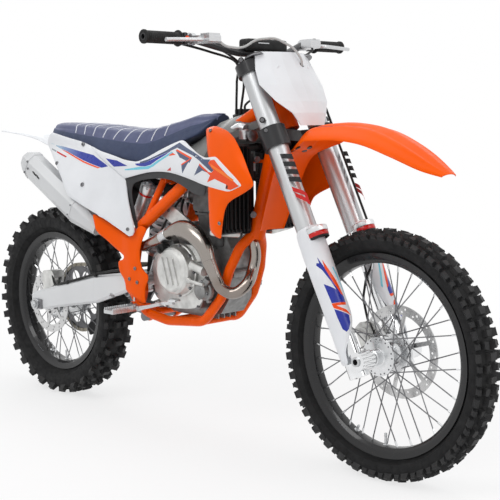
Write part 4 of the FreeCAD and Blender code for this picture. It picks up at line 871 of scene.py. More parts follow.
boot_outline = [(-353, 682), (-331, 672), (-281, 645), (-211, 615), (-197, 614), (-153, 655), (-118, 643),
                (-144, 607), (-156, 574), (-157, 548), (-147, 513), (-118, 497), (-118, 480), (-132, 460),
                (-136, 428), (-131, 406), (-151, 404), (-168, 414), (-228, 434), (-234, 468), (-260, 498),
                (-264, 530), (-240, 537), (-234, 548), (-254, 560), (-287, 579), (-343, 622), (-350, 659)]
liner_outline = [(225, 797), (155, 810), (88, 821), (30, 828), (-26, 829), (-80, 826), (-136, 818),
                 (-205, 803), (-222, 798), (-222, 760), (-196, 690), (-176, 630), (-164, 632), (-176, 690),
                 (-190, 760), (-178, 786), (-136, 797), (-80, 803), (-26, 806), (30, 803), (88, 790),
                 (150, 768), (215, 762)]
panel("frame_boot_", boot_outline, rolled(boot_surface, boot_outline, 9.0, 4.0), orange_plastic,
      spacing=7.0, replaced={"left": ("frame_guards",)})
panel("inner_liner_", liner_outline, shroud_surface, liner_plastic, offset=-5.0)

guard_skin = rolled(guard_surface, guard_outline, 9.0, 2.0)
guards = Piece(white_plastic)
for side in (1, -1):
    sheet = flat_cut(soften(guard_outline), 9.0)
    shell(sheet, guard_skin, 3.0, 0.0, side)
    guards.keep(sheet)
guards.make("leg_guards", "steering", 40.0, ("fork_guards",))

# Films on the blade: bands, stripes and slanted bars
stickers("shroud_graphics", blade_skin, [
    ("navy", 0, [(61, 916), (107, 902), (151, 890), (185, 880), (218, 870), (249, 870), (242, 860),
                 (270, 840), (261, 835), (231, 850), (198, 865), (156, 879), (114, 888), (73, 897),
                 (45, 903)]),
    ("navy", 0, [(61, 916), (23, 901), (-9, 889), (-48, 876), (-89, 863), (-133, 854), (-132, 850),
                 (-105, 852), (-67, 864), (-26, 877), (27, 892), (53, 899)]),
    ("blue", 1, [(-158, 848), (-132, 850), (-105, 852), (-66, 863), (-26, 876), (26, 891), (-4, 877),
                 (-43, 861), (-72, 847), (-103, 841), (-131, 841), (-152, 843)]),
    ("cyan", 0, [(-212, 829), (-131, 839), (-103, 840), (-71, 845), (-41, 859), (-1, 876), (32, 889),
                 (40, 885), (7, 872), (-25, 858), (-58, 842), (-85, 833), (-131, 830), (-207, 826)]),
    ("orange", 2, [(250, 868), (268, 870), (378, 799), (343, 787), (323, 790), (326, 802), (275, 816),
                   (240, 805), (254, 825), (236, 836), (261, 833), (271, 840), (242, 860)]),
    # A lighter orange strip inside the orange decal: a painted highlight where the blade's ridge catches the
    # light
    ("highlight orange", 3, [(253, 858), (312, 838), (358, 816), (352, 812), (305, 831), (259, 850)]),
    ("black", 3, [(327, 801), (334, 799), (332, 790), (324, 790)]),
    ("navy", 1, [(52, 893), (150, 868), (143, 858), (100, 869), (84, 872)]),
    ("orange", 2, [(58, 896), (152, 873), (150, 868), (54, 892)]),
    ("navy", 1, [(100, 849), (142, 866), (106, 826)]),
    ("orange", 2, [(100, 849), (142, 866), (144, 871), (98, 853)]),
    ("navy", 1, [(198, 853), (240, 833), (217, 838), (172, 822)]),
    ("orange", 2, [(198, 853), (240, 833), (243, 837), (200, 858)]),
    ("orange", 1, [(17, 877), (37, 885), (57, 880), (27, 876)]),
    ("red", 1, [(39, 842), (41, 832), (17, 831)]),
    ("blue", 0, [(-312, 862), (-252, 856), (-196, 840), (-265, 836)]),
], "chassis", 3.5)
stickers("side_graphics", side_skin, [
    ("fade", 0, [(-641, 908), (-577, 899), (-504, 889), (-384, 871), (-306, 836), (-334, 831), (-427, 853),
                 (-526, 880), (-588, 893)]),
    ("orange", 1, [(-569, 888), (-525, 879), (-426, 851), (-340, 831), (-350, 829), (-429, 847),
                   (-523, 875)]),
    ("red", 0, [(-590, 882), (-523, 865), (-527, 861), (-588, 877)]),
    ("grey", 0, [(-628, 891), (-594, 883), (-592, 878), (-622, 886)]),
], "chassis")
stickers("guard_graphics", guard_skin, [
    ("blue", 0, [(300, 48), (265, 33), (193, 5), (196, 15), (223, 26), (262, 46), (279, 62), (285, 58),
                 (282, 48)]),
    ("orange", 1, [(289, 33), (263, 21), (219, 1), (181, -9), (186, 2), (221, 19), (263, 34)]),
    ("blue", 0, [(225, 59), (207, 27), (189, 0), (178, -9), (162, -8), (169, 54)]),
    ("orange", 1, [(168, 55), (162, -9), (155, -6), (159, 40), (141, 1), (124, -14), (143, 28), (155, 53)]),
    ("blue", 0, [(152, 53), (126, -2), (106, 6), (90, 22), (84, 36), (94, 48), (127, 52)]),
    ("cyan", 0, [(264, -1), (263, -8), (190, -34), (185, -28), (225, -11)]),
], "steering")


# The seat: a crowned body with a gripping top that is paler partly by its own colour and partly by painted
# light, and white ribs over it
seat_rows = [(-702, 944, 968, 34, 46), (-694, 938, 973, 52, 64), (-676, 928, 974, 62, 78),
             (-620, 914, 973, 70, 88), (-540, 899, 970, 73, 94), (-442, 884, 965, 76, 100),
             (-306, 868, 954, 78, 104), (-192, 850, 953, 75, 103), (-140, 853, 958, 70, 98),
             (-80, 876, 970, 62, 90), (-20, 902, 984, 55, 82), (30, 922, 996, 48, 76),
             (68, 936, 997, 44, 68), (96, 957, 999, 38, 56), (112, 976, 997, 26, 40)]


GRIP_EDGE = 0.22


def seat_ring(row):
    """One cross section of the seat, from one lower edge over the top to the other."""
    x, low, top, half_top, half_low = row
    half = [(half_low - 6, low), (half_low - 1, low + 2), (half_low, low + 8),
            (mix(half_low, half_top, 0.3), mix(low, top, 0.35)), (mix(half_low, half_top, 0.62),
            mix(low, top, 0.62)), (half_top + 1, top - 16), (half_top - 6, top - 5),
            (half_top - 20, top + 0.5), (half_top * 0.4, top + 3)]
    return [(x, y, z) for y, z in half] + [(x, 0.0, top + 4)] + [(x, -y, z) for y, z in reversed(half)]


def seat_point(t, k, rise=0.0):
    """The seat's surface at share t of its length and share k across, as (x, y, z)."""
    x, y, z = smooth_row(seat_ring(smooth_row(seat_rows, t)), k)
    side = bounded(abs(y) / 60) * (1 if y > 0 else -1)
    return x, y + rise * side, z + rise * (1 - abs(side) * 0.6)


def seat_share(x):
    """The share of the seat's length at which its cross section lies at x."""
    low, high = 0.0, 1.0
    for _ in range(24):
        middle = (low + high) / 2
        if smooth_row(seat_rows, middle)[0] < x:
            low = middle
        else:
            high = middle
    return low


def make_seat():
    piece = Piece(seat_cover, seat_grip_lit)
    shape = bmesh.new()
    bmesh.ops.create_grid(shape, x_segments=100, y_segments=56, size=0.5)
    for face in shape.faces:
        # The top between the grip edges takes the paler gripper cover: partly its own colour, partly painted
        # light
        share = face.calc_center_median().y + 0.5
        face.material_index = 1 if GRIP_EDGE < share < 1 - GRIP_EDGE else 0
    for v in shape.verts:
        k = bounded(v.co.y + 0.5)
        sunk = max(0.0, 1.0 - min(abs(k - GRIP_EDGE), abs(k - 1 + GRIP_EDGE)) / 0.018)
        v.co = at(*seat_point(bounded(v.co.x + 0.5), k, -1.3 * sunk))
    rim = [e for e in shape.edges if e.is_boundary]
    lower = [e for e in rim if max(v.co.y for v in e.verts) < -0.02 or min(v.co.y for v in e.verts) > 0.02]
    long_edges = [e for e in lower if abs(e.verts[0].co.x - e.verts[1].co.x) > 0.002]
    right = [e for e in long_edges if e.verts[0].co.y < 0]
    left = [e for e in long_edges if e.verts[0].co.y > 0]
    bmesh.ops.bridge_loops(shape, edges=right + left)
    bmesh.ops.holes_fill(shape, edges=[e for e in shape.edges if e.is_boundary], sides=0)
    piece.keep(shape)
    obj = piece.make("seat_cushion", "chassis", 50.0, ("seat",))
    ribs = Piece(rib_white)
    ends = [(-536, -548), (-483, -495), (-433, -436), (-377, -373), (-321, -305), (-264, -239), (-203, -182),
            (-137, -123), (-80, -76)]
    for low_x, high_x in ends:
        line = []
        for k in range(25):
            place = mix(0.222, 0.778, k / 24)
            away = min(abs(place - 0.5) / 0.278, 1.0)
            x = mix(high_x, low_x, max(0.0, (away - 0.55) / 0.45))
            line.append(at(*seat_point(seat_share(x), place, 0.4)))
        shape = bmesh.new()
        pipe(shape, line, 0.0019, 6, 0.012)
        ribs.keep(shape)
    ribs.make("seat_ribs", "chassis", 40.0)


make_seat()


# Fenders
def fender_surface(rows, relief):
    """A fender from rows of (x, z, half width, drop, tilt), arched across, with a relief in millimetres."""
    def surface(t, k, offset):
        x, z, half, drop, tilt = smooth_row(rows, t)
        angle = math.radians(tilt)
        lift = offset - drop * min(abs(k), 1.0) ** 2.2 + relief(t, k)
        return x - math.cos(angle) * lift, half * k, z + math.sin(angle) * lift
    return surface


def fender(name, surface, body, replaced, materials, paint, lengths, widths):
    piece = Piece(*materials)
    shape = bmesh.new()
    bmesh.ops.create_grid(shape, x_segments=lengths, y_segments=widths, size=1.0)
    # The mask picks each face's material; on the front fender the second one is painted shade in the side
    # channels
    for face in shape.faces:
        place = face.calc_center_median()
        face.material_index = paint((place.x + 1) / 2, place.y)
    for v in shape.verts:
        v.co.x = (v.co.x + 1) / 2
    shell(shape, surface, 3.0)
    piece.keep(shape)
    piece.make(name, body, 44.0, (replaced,))


def step_at(value, edge, width):
    """Zero before the edge and one after it, easing over the width."""
    share = bounded((value - edge) / width + 0.5)
    return share * share * (3 - 2 * share)


def swell(k, place, width, height, t, rise, rise_width, fall, fall_width):
    """A rounded ridge at place across, which rises and falls along the fender."""
    shape = math.exp(-((abs(k) - place) / width) ** 2) * height
    return shape * step_at(t, rise, rise_width) * (1 - step_at(t, fall, fall_width))


def front_relief(t, k):
    ridge = swell(k, 0.55, 0.1, 3.0, t, 0.3, 0.2, 0.93, 0.12) - swell(k, 0.34, 0.07, 4.0, t, 0.4, 0.08, 0.7,
            0.12)
    middle = swell(k, 0.0, 0.16, 2.0, t, 0.55, 0.2, 0.95, 0.1)
    return ridge + middle - 1.8 * step_at(abs(k), 0.95, 0.08)


def rear_relief(t, k):
    ridge = swell(k, 0.56, 0.12, 2.4, t, 0.12, 0.15, 0.95, 0.1)
    return ridge - swell(k, 0.0, 0.2, 1.6, t, 0.3, 0.2, 0.9, 0.15) - 2.0 * step_at(abs(k), 0.94, 0.1)


def front_channel_shade(t, k):
    """The channel along each side of the front fender's top gets painted shade, a darker orange than the
    rest.
    """
    return 1 if 0.46 < t < 0.76 and 0.42 < abs(k) < 0.42 + 0.16 * (1 - abs(t - 0.58) / 0.2) else 0


front_rows = [(306, 661, 50, 4, 20), (338, 750, 58, 8, 22), (372, 840, 64, 12, 26), (402, 884, 64, 14, 40),
              (440, 905, 64, 14, 50), (478, 942, 84, 34, 56), (516, 963, 90, 38, 78), (570, 969, 94, 40, 88),
              (650, 969, 94, 40, 94), (740, 954, 90, 38, 104), (830, 915, 82, 30, 114),
              (905, 870, 62, 18, 119), (947, 842, 30, 6, 120)]
rear_rows = [(-560, 886, 95, 14, 90), (-640, 910, 96, 18, 90), (-700, 930, 96, 20, 90),
             (-760, 948, 95, 22, 90), (-850, 957, 90, 18, 90), (-950, 960, 80, 12, 90),
             (-1020, 958, 66, 8, 90), (-1053, 955, 40, 4, 90)]
# The front fender's second material paints shade into its side channels
fender("front_mudguard", fender_surface(front_rows, front_relief), "steering",
       "front_fender", (orange_plastic, channel_shade_orange), front_channel_shade, 96, 60)
fender("rear_mudguard", fender_surface(rear_rows, rear_relief), "chassis", "rear_fender",
       (white_plastic,), lambda t, k: 0, 60, 40)


# Finishes of the CAD pieces that keep their shape
finishes = (
    (orange_paint, "main_frame"), (alloy, "subframe"), (arm_alloy, "swingarm"),
    (cast_alloy, "engine_case water_pump"),
    (head_alloy, "cylinder_head"), (cover_alloy,
                                    "head_stays clutch_cover ignition_cover front_caliper rear_caliper"),
    (silencer_alloy, "silencer"), (smooth_silver, "shock_absorber brake_pedal shift_lever bar_levers"),
    (white_plastic, "shock_spring number_plate"), (dark_steel, "shock_linkage rear_sprocket front_sprocket"),
    (core_alloy, "radiators"), (black_plastic, "radiator_guards airbox chain_guide"),
    (soft_rubber, "radiator_hoses"),
    (grey_plastic, "fuel_tank"), (steel, "swingarm_pivot_bolt footpegs front_axle rear_axle"),
    (fork_alloy, "fork_outer_tubes"), (chrome, "fork_lowers"), (clamp_black,
            "lower_clamp upper_clamp handlebar"),
    (disc_steel, "front_disc rear_disc"), (brake_hose, "front_brake_hose"))
for material, names in finishes:
    for name in names.split():
        slots = nodes[name].data.materials
        for index in range(len(slots)):
            slots[index] = material


# Drive chain: separate links over the pins of its route
PITCH = 15.875
REAR_TEETH = 48
FRONT_TEETH = 14
rear_middle = (-HALF_BASE, REAR_TYRE_R)
front_middle = (-105, 480)


def chain_pins():
    """The (x, z) of every pin: upper run, round the front, lower run, round the rear."""
    rear_r = PITCH / (2 * math.sin(math.pi / REAR_TEETH))
    front_r = PITCH / (2 * math.sin(math.pi / FRONT_TEETH))
    dx = front_middle[0] - rear_middle[0]
    dz = front_middle[1] - rear_middle[1]
    slope = math.atan2(dz, dx)
    spread = math.asin((rear_r - front_r) / math.hypot(dx, dz))
    run = math.hypot(dx, dz) * math.cos(spread)
    rear_links = (math.pi + 2 * spread) / (2 * math.pi) * REAR_TEETH
    front_links = (math.pi - 2 * spread) / (2 * math.pi) * FRONT_TEETH
    links = 2 * round((2 * run / PITCH + rear_links + front_links) / 2)
    run_links = (links - rear_links - front_links) / 2
    top = slope + math.pi / 2 - spread
    low = slope - math.pi / 2 + spread
    pins = []
    for k in range(links):
        past = 0
        way = 0
        if k < run_links:
            turn, radius, centre, past, way = top, rear_r, rear_middle, k, slope - spread
        elif k < run_links + front_links:
            turn = top - (k - run_links) * 2 * math.pi / FRONT_TEETH
            radius, centre = front_r, front_middle
        elif k < 2 * run_links + front_links:
            past = run_links + front_links - k
            turn, radius, centre, way = low, front_r, front_middle, slope + spread
        else:
            turn = low - (k - 2 * run_links - front_links) * 2 * math.pi / REAR_TEETH
            radius, centre = rear_r, rear_middle
        past = past * run / run_links
        pins.append((centre[0] + radius * math.cos(turn) + past * math.cos(way),
                     centre[1] + radius * math.sin(turn) + past * math.sin(way)))
    return pins


def make_chain():
    piece = Piece()
    pins = chain_pins()
    for k, (x0, z0) in enumerate(pins):
        x1, z1 = pins[(k + 1) % len(pins)]
        heading = math.atan2(z1 - z0, x1 - x0)
        outline = []
        for end, mid in ((0.0, math.pi), (PITCH, 0.0)):
            for j in range(5):
                a = mid + math.radians(-70 + 35 * j)
                outline.append((end + 6.6 * math.cos(a), 6.6 * math.sin(a)))
        outline = [(x0 + u * math.cos(heading) - v * math.sin(heading),
                    z0 + u * math.sin(heading) + v * math.cos(heading)) for u, v in outline]
        plates = bmesh.new()
        for y in ((67.6, 81.0) if k % 2 == 0 else (69.4, 79.2)):
            slab(plates, outline, y, y + 1.5, 0)
        piece.keep(plates, chain_steel)
        for low, high, radius, sides, material in ((67.0, 83.0, 0.0022, 6, chain_steel),
                                                   (71.5, 78.5, 0.0049, 10, dark_steel)):
            bar = bmesh.new()
            round_bar(bar, at(x0, low, z0), at(x0, high, z0), radius, sides)
            piece.keep(bar, material)
    piece.make("roller_chain", "chassis", 40.0, ("chain",))


make_chain()


# Fork fittings
def make_fork_fittings():
    piece = Piece()
    collars = ((alloy, [(366, 24.5), (366, 32.0), (368, 33.0), (379, 33.0), (381, 31.5), (381, 24.5)]),
               (red_anodised, [(354, 24.5), (354, 30.5), (356, 31.5), (364, 31.5), (366, 30.5), (366, 24.5)]),
               (soft_rubber, [(347, 24.3), (347, 26.5), (349, 30.5), (354, 30.5), (354, 24.3)]),
               (clamp_black, [(901, 0.0), (901, 28.0), (904, 28.5), (907, 27.0), (908, 20.0), (906, 19.0),
                              (906, 8.0), (910, 7.5), (910, 0.0)]),
               (dark_steel, [(900, 6.0), (900, 29.6), (902, 29.8), (903.5, 28.6), (903.5, 6.0)]))
    for side in (1, -1):
        foot = leg_at(0, AXLE_LEAD, side * LEG_Y)
        for material, profile in collars:
            shape = bmesh.new()
            lathe(shape, foot, leg_up, profile, 48, True)
            piece.keep(shape, material)
        # The clamps' split bosses with their pinch bolts, behind and outside each leg
        shape = bmesh.new()
        screws = bmesh.new()
        facing = Vector((0.7, side * 0.7, 0))
        for s in (676, 708, 894):
            middle = leg_at(s, AXLE_LEAD, side * LEG_Y) + Vector((-0.028, side * 0.027, 0))
            round_bar(shape, middle - facing * 0.014, middle + facing * 0.013, 0.0085, 20)
            bolt(screws, middle + facing * 0.013, facing, 5.4, 5.0)
        piece.keep(shape, clamp_black)
        piece.keep(screws, dark_steel)
    # The stem nut and the bolts of the handlebar's clamps
    shape = bmesh.new()
    lathe(shape, leg_at(0, -22, 0), leg_up, [(905, 0.0), (905, 19.0), (909, 19.0), (911, 17.0), (917, 16.5),
                                             (919, 14.5), (919, 8.0), (914, 7.5), (914, 0.0)], 32)
    piece.keep(shape, alloy)
    shape = bmesh.new()
    for side in (1, -1):
        for y in (38, 58):
            for x in (262, 294):
                bolt(shape, at(x, side * y, 1184.5), UP, 4.6, 4.0)
    piece.keep(shape, dark_steel)
    piece.make("fork_fittings", "steering", 30.0)


make_fork_fittings()


# Generic bars on the silver fork tubes
def tube_skin(s, angle, offset):
    turn = math.radians(angle)
    out = leg_fore * math.cos(turn) * (30.0 + offset)
    x, y, z = leg(s, AXLE_LEAD, LEG_Y + math.sin(turn) * (30.0 + offset))
    return x + out.x, y, z + out.z


def make_tube_bars():
    bars = Piece()
    marks = [("red", [(508, 96), (494, 96), (470, 40), (484, 40)]),
             ("red", [(490, 90), (476, 90), (446, 34), (460, 34)]),
             ("red", [(484, 42), (446, 42), (440, 28), (474, 28)])]
    for high in (606, 583, 560, 537):
        marks.append(("black", [(high, 96), (high - 14, 96), (high - 30, 32), (high - 14, 32)]))
    for side in (1, -1):
        for film, outline in marks:
            sheet = flat_cut(outline, 9.0)
            shell(sheet, tube_skin, 0.4, 0.3, side, 0.02)
            bars.keep(sheet, films[film])
    bars.make("fork_tube_bars", "steering", 40.0)


make_tube_bars()


# Handlebar: grips, pad, switches and cables
def make_bar_parts():
    piece = Piece()
    for side in (1, -1):
        start = at(228, side * 279, 1208)
        profile = [(0.0, 12.0), (0.0, 22.5), (1.5, 23.0), (3.0, 22.5), (4.0, 17.5)]
        for k in range(17):
            low = 8.0 + k * 6.4
            profile += [(low, 16.0), (low + 0.8, 17.2), (low + 3.6, 17.2), (low + 4.4, 16.0)]
        profile += [(119.0, 16.2), (120.5, 19.5), (124.5, 19.5), (126.0, 18.0), (126.0, 12.0)]
        shape = bmesh.new()
        lathe(shape, start, Vector((0, side, 0)), profile, 32, True)
        piece.keep(shape, soft_rubber)
    piece.make("ribbed_grips", "steering", 34.0, ("grips",))
    pad = Piece()
    shape = bmesh.new()
    cuboid(shape, at(284, 0, 1195), (40, 168, 37), None, 9.0)
    bmesh.ops.subdivide_edges(shape, edges=list(shape.edges), cuts=2, use_grid_fill=True)
    bmesh.ops.smooth_vert(shape, verts=shape.verts, factor=0.4, use_axis_x=True, use_axis_y=True,
                          use_axis_z=True)
    pad.keep(shape, soft_rubber)
    shape = bmesh.new()
    cuboid(shape, at(303.6, -18, 1201), (1.6, 44, 3), None, 0.3)
    pad.keep(shape, films["white"])
    pad.make("padded_bar_cover", "steering", 40.0, ("bar_pad",))
    fittings = Piece()
    for side in (1, -1):
        shape = bmesh.new()
        cuboid(shape, at(228, side * 262, 1208), (30, 14, 34), None, 4.0)
        fittings.keep(shape, clamp_black)
        shape = bmesh.new()
        bolt(shape, at(242, side * 247, 1218), Vector((0.7, 0, 0.7)), 3.6, 3.6)
        bolt(shape, at(242, side * 247, 1198), Vector((0.7, 0, -0.7)), 3.6, 3.6)
        fittings.keep(shape, dark_steel)
    shape = bmesh.new()
    lathe(shape, at(246, -262, 1208), Vector((1, 0, 0.15)), [(0, 0.0), (0, 7.0), (3, 7.0), (4, 5.0),
            (4, 0.0)], 20)
    fittings.keep(shape, films["orange"])
    fittings.make("bar_switches", "steering", 30.0)


make_bar_parts()


def crossing_cable(name, radius, *points):
    """A cable from the handlebar down to the frame."""
    shape = bmesh.new()
    pipe(shape, [at(*p) for p in points], radius, 8, 0.01)
    bmesh.ops.recalc_face_normals(shape, faces=shape.faces)
    obj = place_mesh(name, shape, (soft_rubber,))
    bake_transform(obj)


crossing_cable("throttle_cable_a", 0.0036, (212, -262, 1196), (232, -170, 1176), (210, -40, 1150),
               (202, -30, 1090), (200, -30, 1040), (198, -30, 981))
crossing_cable("throttle_cable_b", 0.0036, (216, -262, 1206), (244, -150, 1186), (236, -44, 1140),
               (232, -30, 1089), (222, -30, 1030), (210, -30, 978))
crossing_cable("clutch_hose", 0.0034, (250, 245, 1200), (300, 190, 1186), (322, 110, 1150), (318, 60, 1080),
               (290, 52, 1010), (240, 60, 960))


# Engine details
def part_bolts(shape, name, side, radius, height, places):
    """Bolts on the outside of a CAD piece, each square to its surface at (x, z)."""
    for x, z in places:
        hit, place, normal, _ = nodes[name].ray_cast(at(x, side * 500, z), -LEFT * side)
        if hit:
            bolt(shape, place, normal, radius, height)


def circle_places(x, z, radius, angles):
    return [(x + radius * math.sin(a), z + radius * math.cos(a)) for a in angles]


def make_engine_fittings():
    piece = Piece()
    shape = bmesh.new()
    nine = [2 * math.pi * (k + 0.25) / 9 for k in range(9)]
    six = [2 * math.pi * (k + 0.5) / 6 for k in range(6)]
    part_bolts(shape, "clutch_cover", -1, 4.6, 5.0, circle_places(12, 523, 77, nine))
    part_bolts(shape, "engine_case", -1, 4.6, 5.5, ((-118, 548), (-55, 582), (20, 596), (122, 592),
                                                    (138, 540), (120, 474), (88, 416), (-56, 404),
                                                    (-108, 436)))
    part_bolts(shape, "engine_case", 1, 4.6, 5.5, ((-42, 566), (20, 590), (122, 592), (138, 540), (120, 474),
                                                   (88, 416), (-42, 404)))
    part_bolts(shape, "ignition_cover", 1, 4.2, 5.0, circle_places(95, 480, 58, six))
    part_bolts(shape, "water_pump", -1, 4.0, 5.0, circle_places(126, 474, 28, (0.35, 1.9, 3.5, 4.9)))
    for side in (-1, 1):
        part_bolts(shape, "head_stays", side, 5.0, 4.0, ((-60, 702), (-88, 682), (20, 690), (34, 664)))
    piece.keep(shape, dark_steel)
    # The oil filler with its wing, and the line of the gasket on each side
    shape = bmesh.new()
    lathe(shape, at(-38, -104, 588), RIGHT, [(0, 0), (0, 14), (22, 14), (24, 15.5), (32, 15.5), (34, 13),
                                             (35, 0)], 24)
    cuboid(shape, at(-38, -142, 588), (24, 8, 5), turned("Y", 0.7), 1.5)
    piece.keep(shape, soft_rubber)
    shape = bmesh.new()
    for y in (-93.5, 93.0):
        outline = [(-126, 548), (-55, 590), (20, 604), (122, 600), (146, 540), (128, 474), (92, 408),
                   (-56, 396), (-116, 432)]
        slab(shape, soften(outline, 2, 0.2), y - 1.5, y + 1.5, 0.4)
    piece.keep(shape, cover_alloy)
    # Engine mounts and the swingarm's pivot nuts
    shape = bmesh.new()
    for side in (1, -1):
        nut(shape, at(190, side * 58, 520), LEFT * side, 8.0, 8.0)
        nut(shape, at(-220, side * 106, 463), LEFT * side, 13.0, 9.0)
        nut(shape, at(-106, side * 92, 404), LEFT * side, 8.0, 8.0)
    piece.keep(shape, steel)
    # Throttle body, intake boot and the spark plug's cap with its lead
    shape = bmesh.new()
    lathe(shape, at(-24, 0, 748), Vector((-1, 0, 0.05)), [(0, 0), (0, 30), (6, 30), (8, 26), (44, 26),
                                                          (46, 29), (52, 29), (52, 0)], 32)
    cuboid(shape, at(-50, -30, 752), (34, 16, 26), None, 3.0)
    piece.keep(shape, alloy)
    shape = bmesh.new()
    pipe(shape, [at(-70, 0, 750), at(-110, 0, 760), at(-160, 0, 770), at(-220, 0, 780), at(-292, 0, 790)],
         0.03, 24, 0.01, [(0.0, 0.03), (0.2, 0.034), (0.4, 0.031), (0.6, 0.036), (1.0, 0.042)])
    lathe(shape, at(104, 0, 796), UP, [(0, 0), (0, 14), (6, 15), (16, 12), (34, 11), (36, 0)], 20)
    hose(shape, 0.0045, (104, 0, 828), (98, 6, 846), (70, 20, 850), (30, 24, 838))
    hose(shape, 0.004, (-40, -34, 735), (-20, -60, 700), (30, -74, 660), (60, -80, 620), (70, -90, 590))
    hose(shape, 0.0038, (-46, -38, 740), (-70, -62, 690), (-90, -84, 640), (-96, -92, 590))
    hose(shape, 0.0038, (-60, 30, 735), (-84, 56, 690), (-60, 76, 640), (-40, 88, 580))
    piece.keep(shape, soft_rubber)
    # Springs holding the header pipe, and the lower water pipes
    shape = bmesh.new()
    for y in (-40, -22):
        coil(shape, at(160, y, 676), at(197, y + 4, 652), 0.0042, 0.0011, 9)
    piece.keep(shape, steel)
    shape = bmesh.new()
    lathe(shape, at(84, -114, 546), Vector((1, -0.05, -0.22)), [(0, 0), (0, 12), (4, 17), (10, 17),
            (12, 14.5), (56, 14.5), (58, 16), (64, 16), (66, 0)], 28)
    lathe(shape, at(78, -126, 500), Vector((1, 0, -0.12)), [(0, 0), (0, 9), (12, 9), (16, 6), (70, 5.5),
                                                            (72, 0)], 20)
    piece.keep(shape, cover_alloy)
    piece.make("engine_fittings", "chassis", 30.0)


make_engine_fittings()


# The header pipe: one smooth sweep that swells over the clutch cover, with its bands
header_route = [(184, -10, 662), (214, -10, 646), (242, -8, 615), (248, -6, 575), (250, -20, 533),
                (261, -48, 503), (244, -72, 476), (221, -86, 471), (199, -104, 488), (186, -114, 523),
                (167, -119, 565), (152, -120, 601), (128, -121, 628), (91, -122, 648), (45, -120, 652),
                (-2, -118, 640), (-60, -112, 617), (-124, -98, 597), (-194, -76, 580), (-290, -66, 588),
                (-375, -112, 625)]
header_radii = [(0.0, 17.5), (0.4, 17.8), (0.45, 18.5), (0.5, 21.5), (0.55, 25.5), (0.6, 28.5), (0.65, 30.0),
                (0.7, 29.0), (0.735, 24.5), (0.76, 20.0), (0.8, 19.5), (0.85, 17.5), (1.0, 17.5)]


def make_header():
    piece = Piece()
    shape = bmesh.new()
    route = [at(*p) for p in header_route]
    pipe(shape, route, 0.0, 40, 0.006, [(share, radius / 1000) for share, radius in header_radii])
    piece.keep(shape, header_steel)
    rows = [tuple(p) for p in route]
    # The bands: the share of the route where each lies, its radius and its width
    for share, radius, width, material in ((0.06, 19.5, 8, steel), (0.5, 22.4, 2.4, header_steel),
                                           (0.779, 21.0, 34, steel), (0.93, 19.2, 8, steel)):
        middle = Vector(smooth_row(rows, share))
        heading = Vector(smooth_row(rows, share + 0.004)) - Vector(smooth_row(rows, share - 0.004))
        half = [(-width / 2, radius - 2.6), (-width / 2, radius - 0.6), (-width / 2 + 0.6, radius)]
        shape = bmesh.new()
        lathe(shape, middle, heading, mirrored(half), 40, True)
        piece.keep(shape, material)
    piece.make("swept_header", "chassis", 40.0, ("header_pipe",))


make_header()


# The shock's reservoir: its cap, its rings and its valve
def make_shock_fittings():
    piece = Piece()
    top = at(-172, -64, 778)
    low = at(-243, -64, 652)
    down = low - top
    shape = bmesh.new()
    lathe(shape, top, down, [(-10, 0), (-10, 9), (-6, 12), (-3, 20), (0, 24.0), (2, 25.0), (26, 25.0),
                             (28, 23.0), (28, 21), (24, 20)], 32)
    lathe(shape, top, down, [(112, 20), (112, 23.5), (116, 24.5), (122, 24.5), (126, 22.5), (136, 21.5),
                             (140, 0)], 32)
    piece.keep(shape, smooth_silver)
    shape = bmesh.new()
    lathe(shape, top, down, [(30, 21.0), (30, 23.2), (36, 23.2), (36, 21.0)], 32, True)
    piece.keep(shape, red_anodised)
    shape = bmesh.new()
    bolt(shape, top + down.normalized() * 0.013 + Vector((0.0178, -0.0175, 0)), Vector((1, -1, 0)), 4.0, 2.6)
    piece.keep(shape, dark_steel)
    piece.make("shock_fittings", "chassis", 30.0)


make_shock_fittings()


